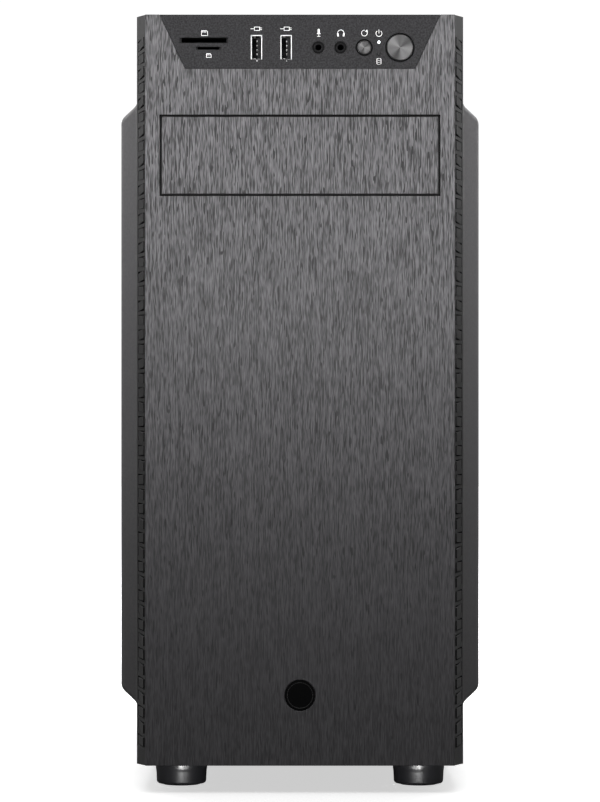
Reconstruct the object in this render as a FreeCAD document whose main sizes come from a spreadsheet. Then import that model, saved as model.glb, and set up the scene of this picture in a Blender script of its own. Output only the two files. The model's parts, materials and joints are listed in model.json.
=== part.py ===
import FreeCAD, Part
import math
import os
import re

import Sketcher
from FreeCAD import Placement, Rotation, Vector

# Desktop computer tower: a narrow ATX case with its board, cooler, cards, drives, fans and supply.
# Millimetres, +Z up, +X to the right seen from the front. The front faces -Y. The origin is under the
# middle of the case, on the surface that the feet stand on.

SIZES = {
    # overall
    "case_w": 185.0,
    "case_h": 437.0,
    "case_d": 465.0,
    "foot_h": 13.7,
    # sheet metal and fits
    "sheet_t": 1.0,
    "panel_t": 1.0,
    "fit_gap": 0.3,
    "flange_w": 13.0,
    # moulded front
    "bezel_d": 40.0,
    "bezel_wall": 2.5,
    "draft_x": 6.4,
    "draft_z": 2.8,
    "plate_t": 2.0,
    "peg_r": 3.0,
    "louvre_pitch": 8.14,
    "louvre_rib": 2.0,
    "louvre_margin": 7.5,
    "louvre_drop": 10.8,
    "louvre_t": 2.4,
    "louvre_in": 2.2,
    # front ports and buttons, drops measured from the top edge of the front plate
    "io_top_w": 156.4,
    "io_bottom_w": 128.0,
    "io_h": 30.2,
    "io_recess": 0.8,
    "port_drop": 18.3,
    "io_board_back": 18.0,
    "io_board_h": 21.0,
    "usb_w": 6.2,
    "usb_h": 13.6,
    "usb_wall": 0.5,
    "jack_r": 3.5,
    "jack_bore_r": 1.8,
    "power_r": 7.2,
    "reset_r": 3.8,
    "ring_w": 0.95,
    # 5.25 inch bay
    "bay_drop": 56.9,
    "cover_w": 153.6,
    "cover_h": 42.8,
    "cover_gap": 1.2,
    "bay_w": 149.4,
    "bay_h": 42.6,
    "bay_d": 150.0,
    "badge_r": 8.6,
    "badge_up": 39.1,
    # side panels
    "bulge_out": 10.2,
    "bulge_slope": 12.0,
    "bulge_bottom": 32.5,
    "bulge_top": 47.8,
    "bulge_front": 14.0,
    "bulge_back": 40.0,
    "screw_head_l": 8.0,
    "screw_head_r": 6.0,
    # feet
    "foot_r": 14.7,
    "foot_x": 67.9,
    "foot_in": 22.0,
    # fans
    "fan_size": 120.0,
    "fan_t": 25.0,
    "fan_hole_r": 2.2,
    "hub_r": 20.0,
    "blade_t": 1.6,
    "tip_gap": 0.8,
    "spindle_r": 1.5,
    "spindle_gap": 0.05,
    # board and what stands on it
    "tray_gap": 11.2,
    "standoff_h": 6.4,
    "pcb_t": 1.6,
    "board_h": 305.0,
    "board_d": 244.0,
    "board_drop": 12.0,
    "io_cut_w": 44.45,
    "io_cut_h": 158.75,
    "slot_pitch": 20.32,
    "socket_drop": 75.0,
    "socket_in": 100.0,
    "cooler_reach": 150.0,
    "cooler_d": 50.0,
    "card_l": 235.0,
    "card_w": 92.0,
    "card_t": 36.0,
    # power supply and drives
    "psu_w": 150.0,
    "psu_h": 86.0,
    "psu_d": 140.0,
    "filter_w": 100.0,
    "filter_l": 132.0,
    "drive_w": 101.6,
    "drive_h": 26.1,
    "drive_l": 147.0,
    "bay_pitch": 31.0,
    "cable_r": 4.0,
}

doc = FreeCAD.newDocument("desktop_tower")
sheet = doc.addObject("Spreadsheet::Sheet", "Dims")
for row, (alias, value) in enumerate(SIZES.items(), start=1):
    sheet.set(f"A{row}", alias)
    sheet.set(f"B{row}", str(value))
    sheet.setAlias(f"B{row}", alias)
doc.recompute()

# Places that many pieces share, as expressions on the sheet's aliases.
FRONT = "(-case_d/2)"
SHELL_FRONT = f"({FRONT} + plate_t)"
CHASSIS_FRONT = f"({FRONT} + bezel_d)"
INNER_FRONT = f"({CHASSIS_FRONT} + sheet_t)"
REAR = "(case_d/2 - screw_head_l - panel_t)"
INNER_REAR = f"({REAR} - sheet_t)"
SIDE = "(case_w/2 - panel_t - fit_gap)"
FLOOR = "(foot_h + sheet_t)"
ROOF = "(case_h - sheet_t)"
PLATE_TOP = "(case_h - draft_z)"
PLATE_BOTTOM = "(foot_h + draft_z)"
PLATE_SIDE = "(case_w/2 - draft_x)"
PORT_Z = f"({PLATE_TOP} - port_drop)"
COVER_TOP = f"({PLATE_TOP} - bay_drop)"
BAY_Z = f"({COVER_TOP} - cover_h/2)"
TRAY = f"({SIDE} - tray_gap)"
BOARD_BACK = f"({TRAY} - standoff_h)"
BOARD_FACE = f"({BOARD_BACK} - pcb_t)"
BOARD_REAR = f"({INNER_REAR} - 2*sheet_t)"
BOARD_TOP = f"({ROOF} - board_drop)"
IO_TOP = f"({BOARD_TOP} - 5)"
SLOT_Z = f"({IO_TOP} - io_cut_h - 0.8*slot_pitch)"
SOCKET_Z = f"({BOARD_TOP} - socket_drop)"
SOCKET_Y = f"({BOARD_REAR} - socket_in)"
REAR_FAN_X = f"(0.2 + sheet_t - {SIDE} + fan_size/2)"
LOW_FAN_Z = f"({FLOOR} + 8 + fan_size/2)"
HIGH_FAN_Z = f"({LOW_FAN_Z} + fan_size + 8)"
RAIL = f"({BOARD_FACE} - 107)"
PSU_FRONT = f"({INNER_REAR} - psu_d)"
CAGE_FRONT = f"({INNER_FRONT} + fan_t + 8)"
FAN_PITCH = "(fan_size*0.4375)"

# Places of the front ports along X, from the middle of the case.
CARD_SLOT_X = -53.4
SMALL_CARD_X = -50.9
USB_X = (-24.2, -7.7)
JACK_X = (10.2, 22.5)
RESET_X = 35.7
LED_X = 43.9
POWER_X = 55.6
LED_UP = 3.2
LED_DOWN = 3.6

TURN = {
    "x": Rotation(Vector(0, 1, 0), 90),
    "y": Rotation(Vector(1, 0, 0), -90),
    "z": Rotation(),
}
nodes = {}


def expand(expression):
    """The expression with each of the sheet's aliases pointing at the sheet."""
    swap = lambda found: f"Dims.{found.group(0)}" if found.group(0) in SIZES else found.group(0)
    return re.sub(r"[A-Za-z_][A-Za-z0-9_]*", swap, str(expression))


def number(expression):
    """What an expression on the sheet's aliases comes to."""
    return float(sheet.evalExpression(expand(expression)))


def bind(piece, prop, expression):
    piece.setExpression(prop, expand(expression))


def place(piece, x, y, z, rotation=None):
    """Turns a piece, then binds its position."""
    piece.Placement = Placement(Vector(), rotation or Rotation())
    for axis, value in zip("xyz", (x, y, z)):
        bind(piece, f"Placement.Base.{axis}", value)
    return piece


def box(x, y, z, name="box"):
    """A block between two bounds on each axis."""
    made = doc.addObject("Part::Box", name)
    for prop, (low, high) in zip(("Length", "Width", "Height"), (x, y, z)):
        bind(made, prop, f"({high}) - ({low})")
    return place(made, x[0], y[0], z[0])


def rod(axis, at, radius, length, name="rod"):
    """A cylinder that starts at a point and runs along an axis."""
    made = doc.addObject("Part::Cylinder", name)
    bind(made, "Radius", radius)
    bind(made, "Height", length)
    return place(made, *at, TURN[axis])


def taper(low, high, length, at, rotation=None, name="taper"):
    """A block whose near and far ends differ: each end is (x low, x high, z low, z high)."""
    made = doc.addObject("Part::Wedge", name)
    names = (("Xmin", "Xmax", "Zmin", "Zmax"), ("X2min", "X2max", "Z2min", "Z2max"))
    for props, values in zip(names, (low, high)):
        for prop, value in zip(props, values):
            bind(made, prop, value)
    bind(made, "Ymin", "0")
    bind(made, "Ymax", length)
    return place(made, *at, rotation)


def several(pieces, kind, prop, name):
    """One piece as it is, or many joined by a feature of that kind."""
    if len(pieces) == 1:
        return pieces[0]
    made = doc.addObject(kind, name)
    setattr(made, prop, list(pieces))
    return made


def fuse(*pieces, name="fuse"):
    return several(pieces, "Part::MultiFuse", "Shapes", name)


def group(*pieces, name="group"):
    return several(pieces, "Part::Compound", "Links", name)


def cut(base, *tools, name="cut"):
    """The base less its tools, which don't touch each other."""
    made = doc.addObject("Part::Cut", name)
    made.Base = base
    made.Tool = group(*tools, name="tools")
    return made


def node(label, piece):
    """Names a finished sub-part."""
    piece.Label = label
    nodes[label] = piece
    return piece


def both(value):
    """The bounds of something centred on zero and this wide."""
    return (f"-({value})/2", f"({value})/2")


def about(middle, size):
    """The bounds of something of this size about a middle."""
    return (f"({middle}) - ({size})/2", f"({middle}) + ({size})/2")


def body(name):
    return doc.addObject("PartDesign::Body", name)


def plane_of(owner, role):
    """One of a body's own origin planes."""
    return next(f for f in owner.Origin.OriginFeatures if f.Role == role)


def outline(owner, role, points, offset="0", name="outline"):
    """A closed sketch on a body's origin plane, each corner bound to a pair of expressions."""
    drawn = owner.newObject("Sketcher::SketchObject", name)
    drawn.AttachmentSupport = (plane_of(owner, role), "")
    drawn.MapMode = "FlatFace"
    bind(drawn, "AttachmentOffset.Base.z", offset)
    corners = [Vector(number(u), number(v), 0) for u, v in points]
    count = len(corners)
    for i in range(count):
        drawn.addGeometry(Part.LineSegment(corners[i], corners[(i + 1) % count]), False)
    for i in range(count):
        drawn.addConstraint(Sketcher.Constraint("Coincident", i, 2, (i + 1) % count, 1))
    for i, (u, v) in enumerate(points):
        for kind, value, at in (("DistanceX", u, corners[i].x), ("DistanceY", v, corners[i].y)):
            index = drawn.addConstraint(Sketcher.Constraint(kind, -1, 1, i, 1, at))
            drawn.setExpression(f"Constraints[{index}]", expand(value))
    return drawn


def turned(owner, points, name="turned"):
    """Adds a full revolution about the body's own Z of a profile given as (radius, height)."""
    profile = outline(owner, "XZ_Plane", points)
    made = owner.newObject("PartDesign::Revolution", name)
    made.Profile = profile
    made.ReferenceAxis = (profile, ["V_Axis"])
    made.Angle = 360
    return made


# ---------------------------------------------------------------- moulded front


def drafted(inset, front, back, name):
    """The tapering block of the front moulding, this far inside its outer faces."""
    near = (f"-({PLATE_SIDE} - {inset})", f"{PLATE_SIDE} - {inset}")
    near += (f"{PLATE_BOTTOM} + {inset}", f"{PLATE_TOP} - {inset}")
    far = (f"-(case_w/2 - {inset})", f"case_w/2 - {inset}")
    far += (f"foot_h + {inset}", f"case_h - {inset}")
    return taper(near, far, f"{back} - {front}", ("0", front, "0"), name=name)


def louvre_rows():
    """How many louvres fit in the height of the moulding's sides."""
    return int(number(f"({PLATE_TOP} - {PLATE_BOTTOM} - louvre_drop - louvre_margin)/louvre_pitch"))


LOUVRE_Z = f"({PLATE_TOP} - louvre_drop - {louvre_rows()}*louvre_pitch)"
LOUVRE_TOP = f"({PLATE_TOP} - louvre_drop)"
LOUVRE_Y = (f"{SHELL_FRONT} + louvre_in", f"{CHASSIS_FRONT} - 3.5")
SLOPE = "atan(draft_x/(bezel_d - plate_t))"


def peg_places():
    """Where the front moulding's four pegs go into the chassis."""
    x = f"({PLATE_SIDE} - bezel_wall - peg_r - 3)"
    heights = (f"{FLOOR} + 26", f"{COVER_TOP} - cover_h - 14")
    return [(f"{s}*{x}", z) for s in (-1, 1) for z in heights]


def front_bezel():
    shell = cut(
        drafted("0", SHELL_FRONT, CHASSIS_FRONT, "bezel_outside"),
        drafted("bezel_wall", f"({SHELL_FRONT} + bezel_wall)", CHASSIS_FRONT, "bezel_inside"),
    )
    through = (f"{SHELL_FRONT} - 1", f"{SHELL_FRONT} + bezel_wall + 1")
    bay = box(both("cover_w - 4"), through, about(BAY_Z, "cover_h - 0.6"))
    ports = box(("-69.5", "66"), through, (f"{PORT_Z} - 9.6", f"{PORT_Z} + 10.2"))
    sides = [
        box((low, high), LOUVRE_Y, (LOUVRE_Z, LOUVRE_TOP))
        for low, high in (("-case_w", f"-({PLATE_SIDE} - 8)"), (f"{PLATE_SIDE} - 8", "case_w"))
    ]
    pierced = cut(shell, bay, ports, *sides)
    peg_l = f"{INNER_FRONT} - {SHELL_FRONT} - bezel_wall/2 + 4"
    pegs = [rod("y", (x, f"{SHELL_FRONT} + bezel_wall/2", z), "peg_r", peg_l) for x, z in peg_places()]
    node("front_bezel", fuse(pierced, *pegs, *board_posts()))


def io_trapezoid(inset, y, name):
    """The block over the ports, wide at its top edge."""
    low = (f"-(io_bottom_w/2 - {inset})", f"io_bottom_w/2 - {inset}", "0", f"{y[1]} - {y[0]}")
    high = (f"-(io_top_w/2 - {inset})", f"io_top_w/2 - {inset}", "0", f"{y[1]} - {y[0]}")
    at = ("0", y[1], f"{PLATE_TOP} - io_h + {inset}")
    return taper(low, high, f"io_h - {inset} + 0.001", at, Rotation(Vector(1, 0, 0), 90), name)


def front_plate():
    face = (FRONT, SHELL_FRONT)
    plate = box(both(f"2*{PLATE_SIDE}"), face, (PLATE_BOTTOM, PLATE_TOP), "plate")
    notch = io_trapezoid("0", (f"({FRONT} - 1)", f"({SHELL_FRONT} + 1)"), "notch")
    opening = box(both("cover_w + 2*cover_gap"), (f"{FRONT} - 1", f"{SHELL_FRONT} + 1"),
                  about(BAY_Z, "cover_h + 2*cover_gap"))
    recess = rod("y", ("0", f"{FRONT} - 1", f"{PLATE_BOTTOM} + badge_up"), "badge_r + fit_gap/2", "2")
    node("front_plate", cut(plate, notch, opening, recess))
    disc = rod("y", ("0", f"{FRONT} + 0.4", f"{PLATE_BOTTOM} + badge_up"), "badge_r", "0.6")
    groove = cut(rod("y", ("0", f"{FRONT} + 0.3", f"{PLATE_BOTTOM} + badge_up"), "badge_r - 1.6", "0.4"),
                 rod("y", ("0", f"{FRONT} + 0.2", f"{PLATE_BOTTOM} + badge_up"), "badge_r - 2.6", "1"))
    node("badge", cut(disc, groove))


def port_holes(grow):
    """Holes for the ports, buttons and lamps, this much wider than each, through the port panel."""
    y = (f"{FRONT} - 1", f"{SHELL_FRONT} + 1")
    deep = f"{y[1]} - ({y[0]})"
    holes = [
        box(about(CARD_SLOT_X, "27.1"), y, about(f"{PORT_Z} + 4", "3.1")),
        box(about(SMALL_CARD_X, "14.2"), y, about(f"{PORT_Z} - 0.4", "1.7")),
    ]
    holes += [box(about(x, f"usb_w + {grow}"), y, about(PORT_Z, f"usb_h + {grow}")) for x in USB_X]
    rounds = [(x, PORT_Z, "jack_r") for x in JACK_X]
    rounds += [(RESET_X, PORT_Z, "reset_r + ring_w"), (POWER_X, PORT_Z, "power_r + ring_w")]
    rounds += [(LED_X, f"{PORT_Z} + {LED_UP}", "1"), (LED_X, f"{PORT_Z} - {LED_DOWN}", "0.8")]
    return holes + [rod("y", (x, y[0], z), f"{r} + {grow}/2", deep) for x, z, r in rounds]


def io_panel():
    face = io_trapezoid("fit_gap/2", (f"({FRONT} + io_recess)", SHELL_FRONT), "port_panel_face")
    node("io_panel", cut(face, *port_holes("0.2")))


def louvre(label, side):
    """A moulded strip of ribs that fills the window in one side of the front moulding."""
    run = f"({LOUVRE_Y[1]} - ({LOUVRE_Y[0]}) - fit_gap - louvre_t*sin({SLOPE}))"
    length = f"({run}/cos({SLOPE}))"
    deep = ("-louvre_t", "0") if side > 0 else ("0", "louvre_t")
    outer = f"({PLATE_SIDE} + draft_x*louvre_in/(bezel_d - plate_t))"
    face = box(deep, ("0", length), (LOUVRE_Z, LOUVRE_TOP))
    holes = [louvre_hole(f"({LOUVRE_Z} + louvre_rib/2 + {row}*louvre_pitch)", length, row)
             for row in range(louvre_rows())]
    strip = cut(face, *holes, name=label)
    turn = Rotation(Vector(0, 0, -side), number(SLOPE))
    place(strip, f"{side}*{outer}", f"{LOUVRE_Y[0]} + fit_gap/2", "0", turn)
    bind(strip, "Placement.Rotation.Angle", SLOPE)
    node(label, strip)


def louvre_hole(low, length, row):
    """One window between ribs. Every second one narrows towards the back, so the ribs alternate."""
    across = ("-louvre_t - 1", "louvre_t + 1")
    high = f"{low} + louvre_pitch - louvre_rib"
    far = f"{low} + 0.9" if row % 2 else low
    ends = "1.4"
    return taper((*across, low, high), (*across, far, high), f"{length} - 2*{ends}", ("0", ends, "0"))


def bay_cover():
    """A clip-in blank over the 5.25 inch bay: a face with a skirt behind it."""
    face = box(both("cover_w"), (FRONT, SHELL_FRONT), about(BAY_Z, "cover_h"), "cover_face")
    skirt = cut(
        box(both("cover_w - 5"), (SHELL_FRONT, f"{SHELL_FRONT} + 11"), about(BAY_Z, "cover_h - 1.6")),
        box(both("cover_w - 9"), (SHELL_FRONT, f"{SHELL_FRONT} + 12"), about(BAY_Z, "cover_h - 5.6")),
    )
    node("bay_cover", fuse(face, skirt))


def button(label, x, radius, stem_r):
    """A domed cap with a retaining flange and a stem that reaches its switch."""
    owner = body(label)
    back = "(io_board_back - 3.6)"
    profile = [
        ("0", "0"), (f"{radius} - 0.5", "0"), (radius, "-0.5"), (radius, "-3.4"),
        (f"{radius} + ring_w*0.8", "-3.4"), (f"{radius} + ring_w*0.8", "-4.6"), (stem_r, "-4.6"),
        (stem_r, f"-({back})"), ("0", f"-({back})"),
    ]
    turned(owner, profile)
    place(owner, x, FRONT, PORT_Z, Rotation(Vector(1, 0, 0), 90))
    node(label, owner)


def button_rings():
    """Dark collars that line the two button holes."""
    rings = []
    for x, radius in ((RESET_X, "reset_r"), (POWER_X, "power_r")):
        collar = rod("y", (x, f"{FRONT} + io_recess - 0.2", PORT_Z), f"{radius} + ring_w",
                     "plate_t - io_recess + 0.2")
        flange = rod("y", (x, SHELL_FRONT, PORT_Z), f"{radius} + ring_w + 1.2", "0.5")
        inner = rod("y", (x, f"{FRONT} - 1", PORT_Z), f"{radius} + 0.08", "6")
        rings.append(cut(fuse(collar, flange), inner))
    node("button_rings", group(*rings))


def usb_ports():
    """Two upright metal shells. The contact blocks inside them are returned."""
    shells, tongues = [], []
    start, back = f"({FRONT} + io_recess - 0.2)", f"({FRONT} + io_board_back)"
    for x in USB_X:
        shell = box(about(x, "usb_w"), (start, back), about(PORT_Z, "usb_h"))
        wide, tall = about(x, "usb_w - 2*usb_wall"), about(PORT_Z, "usb_h - 2*usb_wall")
        shells.append(cut(shell, box(wide, (f"{start} - 1", f"{back} + 1"), tall)))
        tongue = box((f"{x} + 0.3", f"{x} + 2.1"), (f"{start} + 1.6", f"{back} - 2"), about(PORT_Z, "11.1"))
        tongues.append(fuse(box(wide, (f"{back} - 3", back), tall), tongue))
    node("usb_shells", group(*shells))
    return tongues


def audio_jacks():
    """Two round sockets, each a barrel in front of a block."""
    start, back = f"({FRONT} + io_recess - 0.2)", f"({FRONT} + io_board_back)"
    made = []
    for x in JACK_X:
        barrel = rod("y", (x, start, PORT_Z), "jack_r", f"{SHELL_FRONT} - {start}")
        block = box(about(x, "jack_r*2"), (SHELL_FRONT, back), about(PORT_Z, "jack_r*2.4"))
        bore = rod("y", (x, f"{start} - 1", PORT_Z), "jack_bore_r", "15")
        made.append(cut(fuse(barrel, block), bore))
    return made


def card_reader():
    """The reader's housing, with a wide slot over a small one."""
    front, back = f"{SHELL_FRONT} - 1", f"({FRONT} + io_board_back)"
    case = box(about(CARD_SLOT_X, "31"), (SHELL_FRONT, back), (f"{PORT_Z} - 3.4", f"{PORT_Z} + 7.4"))
    wide = box(about(CARD_SLOT_X, "25"), (front, f"{back} - 1.5"), about(f"{PORT_Z} + 4", "2.5"))
    small = box(about(SMALL_CARD_X, "12"), (front, f"{back} - 3"), about(f"{PORT_Z} - 0.4", "1.3"))
    return cut(case, wide, small)


def tact_switches():
    """A small switch behind each button, with a well that the button's stem runs in."""
    face = f"({FRONT} + io_board_back)"
    made = []
    for x in (RESET_X, POWER_X):
        case = box(about(x, "6"), (f"{face} - 4.4", face), about(PORT_Z, "6"))
        well = rod("y", (x, f"{face} - 5", PORT_Z), "1.25", "3.2")
        made.append(cut(case, well))
    return made


def port_housings():
    """The moulded bodies on the front board: reader, jacks, switches and the blocks in the USB shells."""
    node("port_housings", group(card_reader(), *audio_jacks(), *tact_switches(), *usb_ports()))


def status_lights():
    start = f"({FRONT} + io_recess - 0.1)"
    deep = f"io_board_back - io_recess + 0.1"
    up = rod("y", (LED_X, start, f"{PORT_Z} + {LED_UP}"), "1", deep)
    down = rod("y", (LED_X, start, f"{PORT_Z} - {LED_DOWN}"), "0.8", deep)
    node("status_lights", group(up, down))


def front_io_board():
    """The board that carries the front ports, with the header for its cable."""
    y = (f"{FRONT} + io_board_back", f"{FRONT} + io_board_back + pcb_t")
    board = box(("-70", "65"), y, about(PORT_Z, "io_board_h"), "front_board")
    header = box(("-8", "12"), (y[1], f"{y[1]} + 8"), about(PORT_Z, "8"))
    node("front_io_board", fuse(board, header))


def board_posts():
    """Posts behind the moulding that clip over the front board's lower edge."""
    wall, back = f"({SHELL_FRONT} + bezel_wall)", f"({FRONT} + io_board_back + pcb_t)"
    low = f"({PORT_Z} - io_board_h/2)"
    made = []
    for x in ("-62", "0", "62"):
        made.append(rod("y", (x, f"{wall} - 1", f"{low} - 2.9"), "2.6", f"{back} - {wall} + 1"))
        made.append(box(about(x, "5.2"), (back, f"{back} + 1.5"), (f"{low} - 4.5", f"{low} + 2.5")))
    return made


# ---------------------------------------------------------------- sheet-metal chassis


def foot_places():
    near, far = f"({CHASSIS_FRONT} + foot_in)", f"({REAR} - 1.6*foot_in)"
    names = ("front_left", "front_right", "rear_left", "rear_right")
    spots = [(f"{s}*foot_x", y) for y in (near, far) for s in (-1, 1)]
    return dict(zip(names, spots))


def chassis_base():
    wide, deep = both(f"2*{SIDE}"), (CHASSIS_FRONT, REAR)
    floor = box(wide, deep, ("foot_h", FLOOR), "floor")
    flanges = [
        box(x, (INNER_FRONT, INNER_REAR), ("foot_h", f"{FLOOR} + flange_w"))
        for x in ((f"-{SIDE}", f"sheet_t - {SIDE}"), (f"{SIDE} - sheet_t", SIDE))
    ]
    rails = []
    for s in (-1, 1):
        edge = "(filter_w/2 + fit_gap)"
        x_side = sorted((f"{s}*{edge}", f"{s}*({edge} + sheet_t)"), key=number)
        x_lip = sorted((f"{s}*({edge} - 3)", f"{s}*({edge} + sheet_t)"), key=number)
        y = (f"{INNER_REAR} - filter_l", INNER_REAR)
        rails.append(box(x_side, y, ("foot_h - 4", "foot_h")))
        rails.append(box(x_lip, y, ("foot_h - 4", "foot_h - 3")))
    holes = [rod("z", (x, y, "foot_h - 1"), "4 + fit_gap", "sheet_t + 2")
             for x, y in foot_places().values()]
    middle = f"({PSU_FRONT} + psu_d/2)"
    count = int(number("(filter_w - 8)/9"))
    for i in range(count):
        holes.append(box(about(f"({i} - {(count - 1) / 2})*9", "4.5"), about(middle, "psu_d - 44"),
                         ("foot_h - 1", f"{FLOOR} + 1")))
    node("chassis_base", cut(fuse(floor, *flanges, *rails), *holes))


def chassis_roof():
    roof = box(both(f"2*{SIDE}"), (CHASSIS_FRONT, REAR), (ROOF, "case_h"), "roof")
    flanges = [
        box(x, (INNER_FRONT, INNER_REAR), (f"{ROOF} - flange_w", "case_h"))
        for x in ((f"-{SIDE}", f"sheet_t - {SIDE}"), (f"{SIDE} - sheet_t", SIDE))
    ]
    node("chassis_roof", fuse(roof, *flanges))


def side_posts(y):
    """Upright flanges on both sides of an end wall, between the floor's and the roof's."""
    z = (f"{FLOOR} + flange_w", f"{ROOF} - flange_w")
    return [box(x, y, z) for x in ((f"-{SIDE}", f"sheet_t - {SIDE}"), (f"{SIDE} - sheet_t", SIDE))]


def fan_grille(x, z, y, rings):
    """Ring slots crossed by four bars, through a wall."""
    step = f"((fan_size/2 - 4 - 9)/{rings})"
    tubes = []
    for i in range(rings):
        inner = f"(9 + {i}*{step})"
        tubes.append(cut(rod("y", (x, y[0], z), f"{inner} + {step} - 2.2", f"{y[1]} - ({y[0]})"),
                         rod("y", (x, y[0], z), inner, f"{y[1]} - ({y[0]})")))
    bars = []
    for angle in (45, 135):
        bar = box(("-fan_size", "fan_size"), y, ("-2", "2"))
        place(bar, x, y[0], z, Rotation(Vector(0, 1, 0), angle))
        shift = f"fan_size*cos({angle}) + 2*sin({angle})", f"fan_size*sin({angle}) - 2*cos({angle})"
        bind(bar, "Placement.Base.x", f"({x}) - ({shift[0]})")
        bind(bar, "Placement.Base.z", f"({z}) + ({shift[1]})")
        bars.append(bar)
    return cut(group(*tubes), fuse(*bars))


def fan_holes(x, z, y):
    return [
        rod("y", (f"{x} + {i}*{FAN_PITCH}", y[0], f"{z} + {k}*{FAN_PITCH}"), "fan_hole_r",
            f"{y[1]} - ({y[0]})")
        for i in (-1, 1) for k in (-1, 1)
    ]


def chassis_front():
    y = (CHASSIS_FRONT, INNER_FRONT)
    through = (f"{CHASSIS_FRONT} - 1", f"{INNER_FRONT} + 1")
    wall = box(both(f"2*{SIDE}"), y, (FLOOR, ROOF), "front_wall")
    posts = side_posts((INNER_FRONT, f"{INNER_FRONT} + flange_w"))
    openings = [box(both("bay_w"), through, about(BAY_Z, "bay_h"))]
    for z in (LOW_FAN_Z, HIGH_FAN_Z):
        openings.append(fan_grille("0", z, through, 3))
        openings += fan_holes("0", z, through)
    openings += [rod("y", (x, through[0], z), "peg_r + fit_gap", "sheet_t + 2") for x, z in peg_places()]
    openings.append(box(("10", "60"), through, (f"{ROOF} - 24", f"{ROOF} - 8")))
    node("chassis_front", cut(fuse(wall, *posts), *openings))


def slot_count():
    """How many expansion slots fit between the ports and the supply, up to a full board's seven."""
    room = number(f"({SLOT_Z} - 12) - ({FLOOR} + psu_h + sheet_t)")
    return min(7, 1 + int(room // number("slot_pitch")))


def slot_z(index):
    """The middle of an expansion slot, counted down from the top one."""
    return f"({SLOT_Z} - {index}*slot_pitch)"


def chassis_rear():
    y = (INNER_REAR, REAR)
    through = (f"{INNER_REAR} - 1", f"{REAR} + 1")
    wall = box(both(f"2*{SIDE}"), y, (FLOOR, ROOF), "rear_wall")
    posts = side_posts((f"{INNER_REAR} - flange_w", INNER_REAR))
    openings = [
        box((f"{BOARD_FACE} + 2.5 - io_cut_w", f"{BOARD_FACE} + 2.5"), through,
            (f"{IO_TOP} - io_cut_h", IO_TOP)),
        box(both("psu_w - 12"), through, about(f"{FLOOR} + psu_h/2", "psu_h - 12")),
        fan_grille(REAR_FAN_X, SOCKET_Z, through, 4),
    ]
    openings += fan_holes(REAR_FAN_X, SOCKET_Z, through)
    openings += [box((f"{BOARD_FACE} - 100", f"{BOARD_FACE} + 2"), through, about(slot_z(i), "14"))
                 for i in range(slot_count())]
    openings += [rod("y", (x, f"{INNER_REAR} - 1", z), "1.8", "sheet_t + 2")
                 for x, z in thumbscrew_places()]
    node("chassis_rear", fuse(cut(fuse(wall, *posts), *openings), slot_rail()))


def thumbscrew_places():
    return [(f"{s}*({SIDE} - 7)", z) for s in (-1, 1) for z in (f"{FLOOR} + 122", f"{ROOF} - 18")]


def motherboard_tray():
    x = (TRAY, f"{TRAY} + sheet_t")
    through = (f"{TRAY} - 1", f"{TRAY} + sheet_t + 1")
    front = f"({INNER_FRONT} + 44)"
    plate = box(x, (front, INNER_REAR), (f"{FLOOR} + psu_h + 8", ROOF), "tray_plate")
    lip = box((TRAY, f"{SIDE} - sheet_t"), (front, f"{front} + sheet_t"), (f"{FLOOR} + psu_h + 8", ROOF))
    openings = [box(through, about(SOCKET_Y, "96"), about(SOCKET_Z, "110"))]
    ahead = f"({BOARD_REAR} - board_d - 22)"
    for share in (0.2, 0.5, 0.8):
        openings.append(box(through, about(ahead, "22"), about(f"{BOARD_TOP} - {share}*board_h", "60")))
    node("motherboard_tray", cut(fuse(plate, lip), *openings))


def optical_cage():
    """A channel that hangs from the roof behind the 5.25 inch opening."""
    y = (INNER_FRONT, f"{INNER_FRONT} + bay_d")
    half = "(bay_w/2)"
    low = f"({BAY_Z} - bay_h/2)"
    walls = [box(x, y, (f"{low} - sheet_t", ROOF)) for x in
             ((f"-{half} - sheet_t", f"-{half}"), (half, f"{half} + sheet_t"))]
    bottom = box(both("bay_w + 2*sheet_t"), y, (f"{low} - sheet_t", low))
    window = box(both("bay_w - 50"), (f"{INNER_FRONT} + 25", f"{INNER_FRONT} + bay_d - 25"),
                 (f"{low} - 2*sheet_t", f"{low} + 1"))
    slots = [box(both("bay_w + 20"), about(f"{INNER_FRONT} + {y0}", "14"), about(f"{BAY_Z} + {z0}", "4"))
             for y0 in (46, 118) for z0 in (-11, 3)]
    node("optical_cage", cut(fuse(*walls, bottom), window, *slots))


def drive_cage():
    """An open-ended box for three 3.5 inch drives."""
    y = (CAGE_FRONT, f"{CAGE_FRONT} + drive_l + 4")
    wide = "(drive_w + 1)"
    tall = "(3*bay_pitch + 2)"
    outer = box(both(f"{wide} + 2*sheet_t"), y, (FLOOR, f"{FLOOR} + {tall} + sheet_t"))
    inner = box(both(wide), (f"{y[0]} - 1", f"{y[1]} + 1"), (f"{FLOOR} + sheet_t", f"{FLOOR} + {tall}"))
    frame = cut(outer, inner)
    ledges = []
    for i in range(1, 3):
        for x in ((f"-{wide}/2", f"7 - {wide}/2"), (f"{wide}/2 - 7", f"{wide}/2")):
            ledges.append(box(x, y, about(f"{FLOOR} + {i}*bay_pitch", "sheet_t")))
    slots = [box(both(f"{wide} + 20"), about(f"{CAGE_FRONT} + {y0}", "26"),
                 about(f"{FLOOR} + ({i} + 0.5)*bay_pitch", "12"))
             for y0 in (36, 76, 116) for i in range(3)]
    node("drive_cage", cut(fuse(frame, *ledges), *slots))


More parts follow.
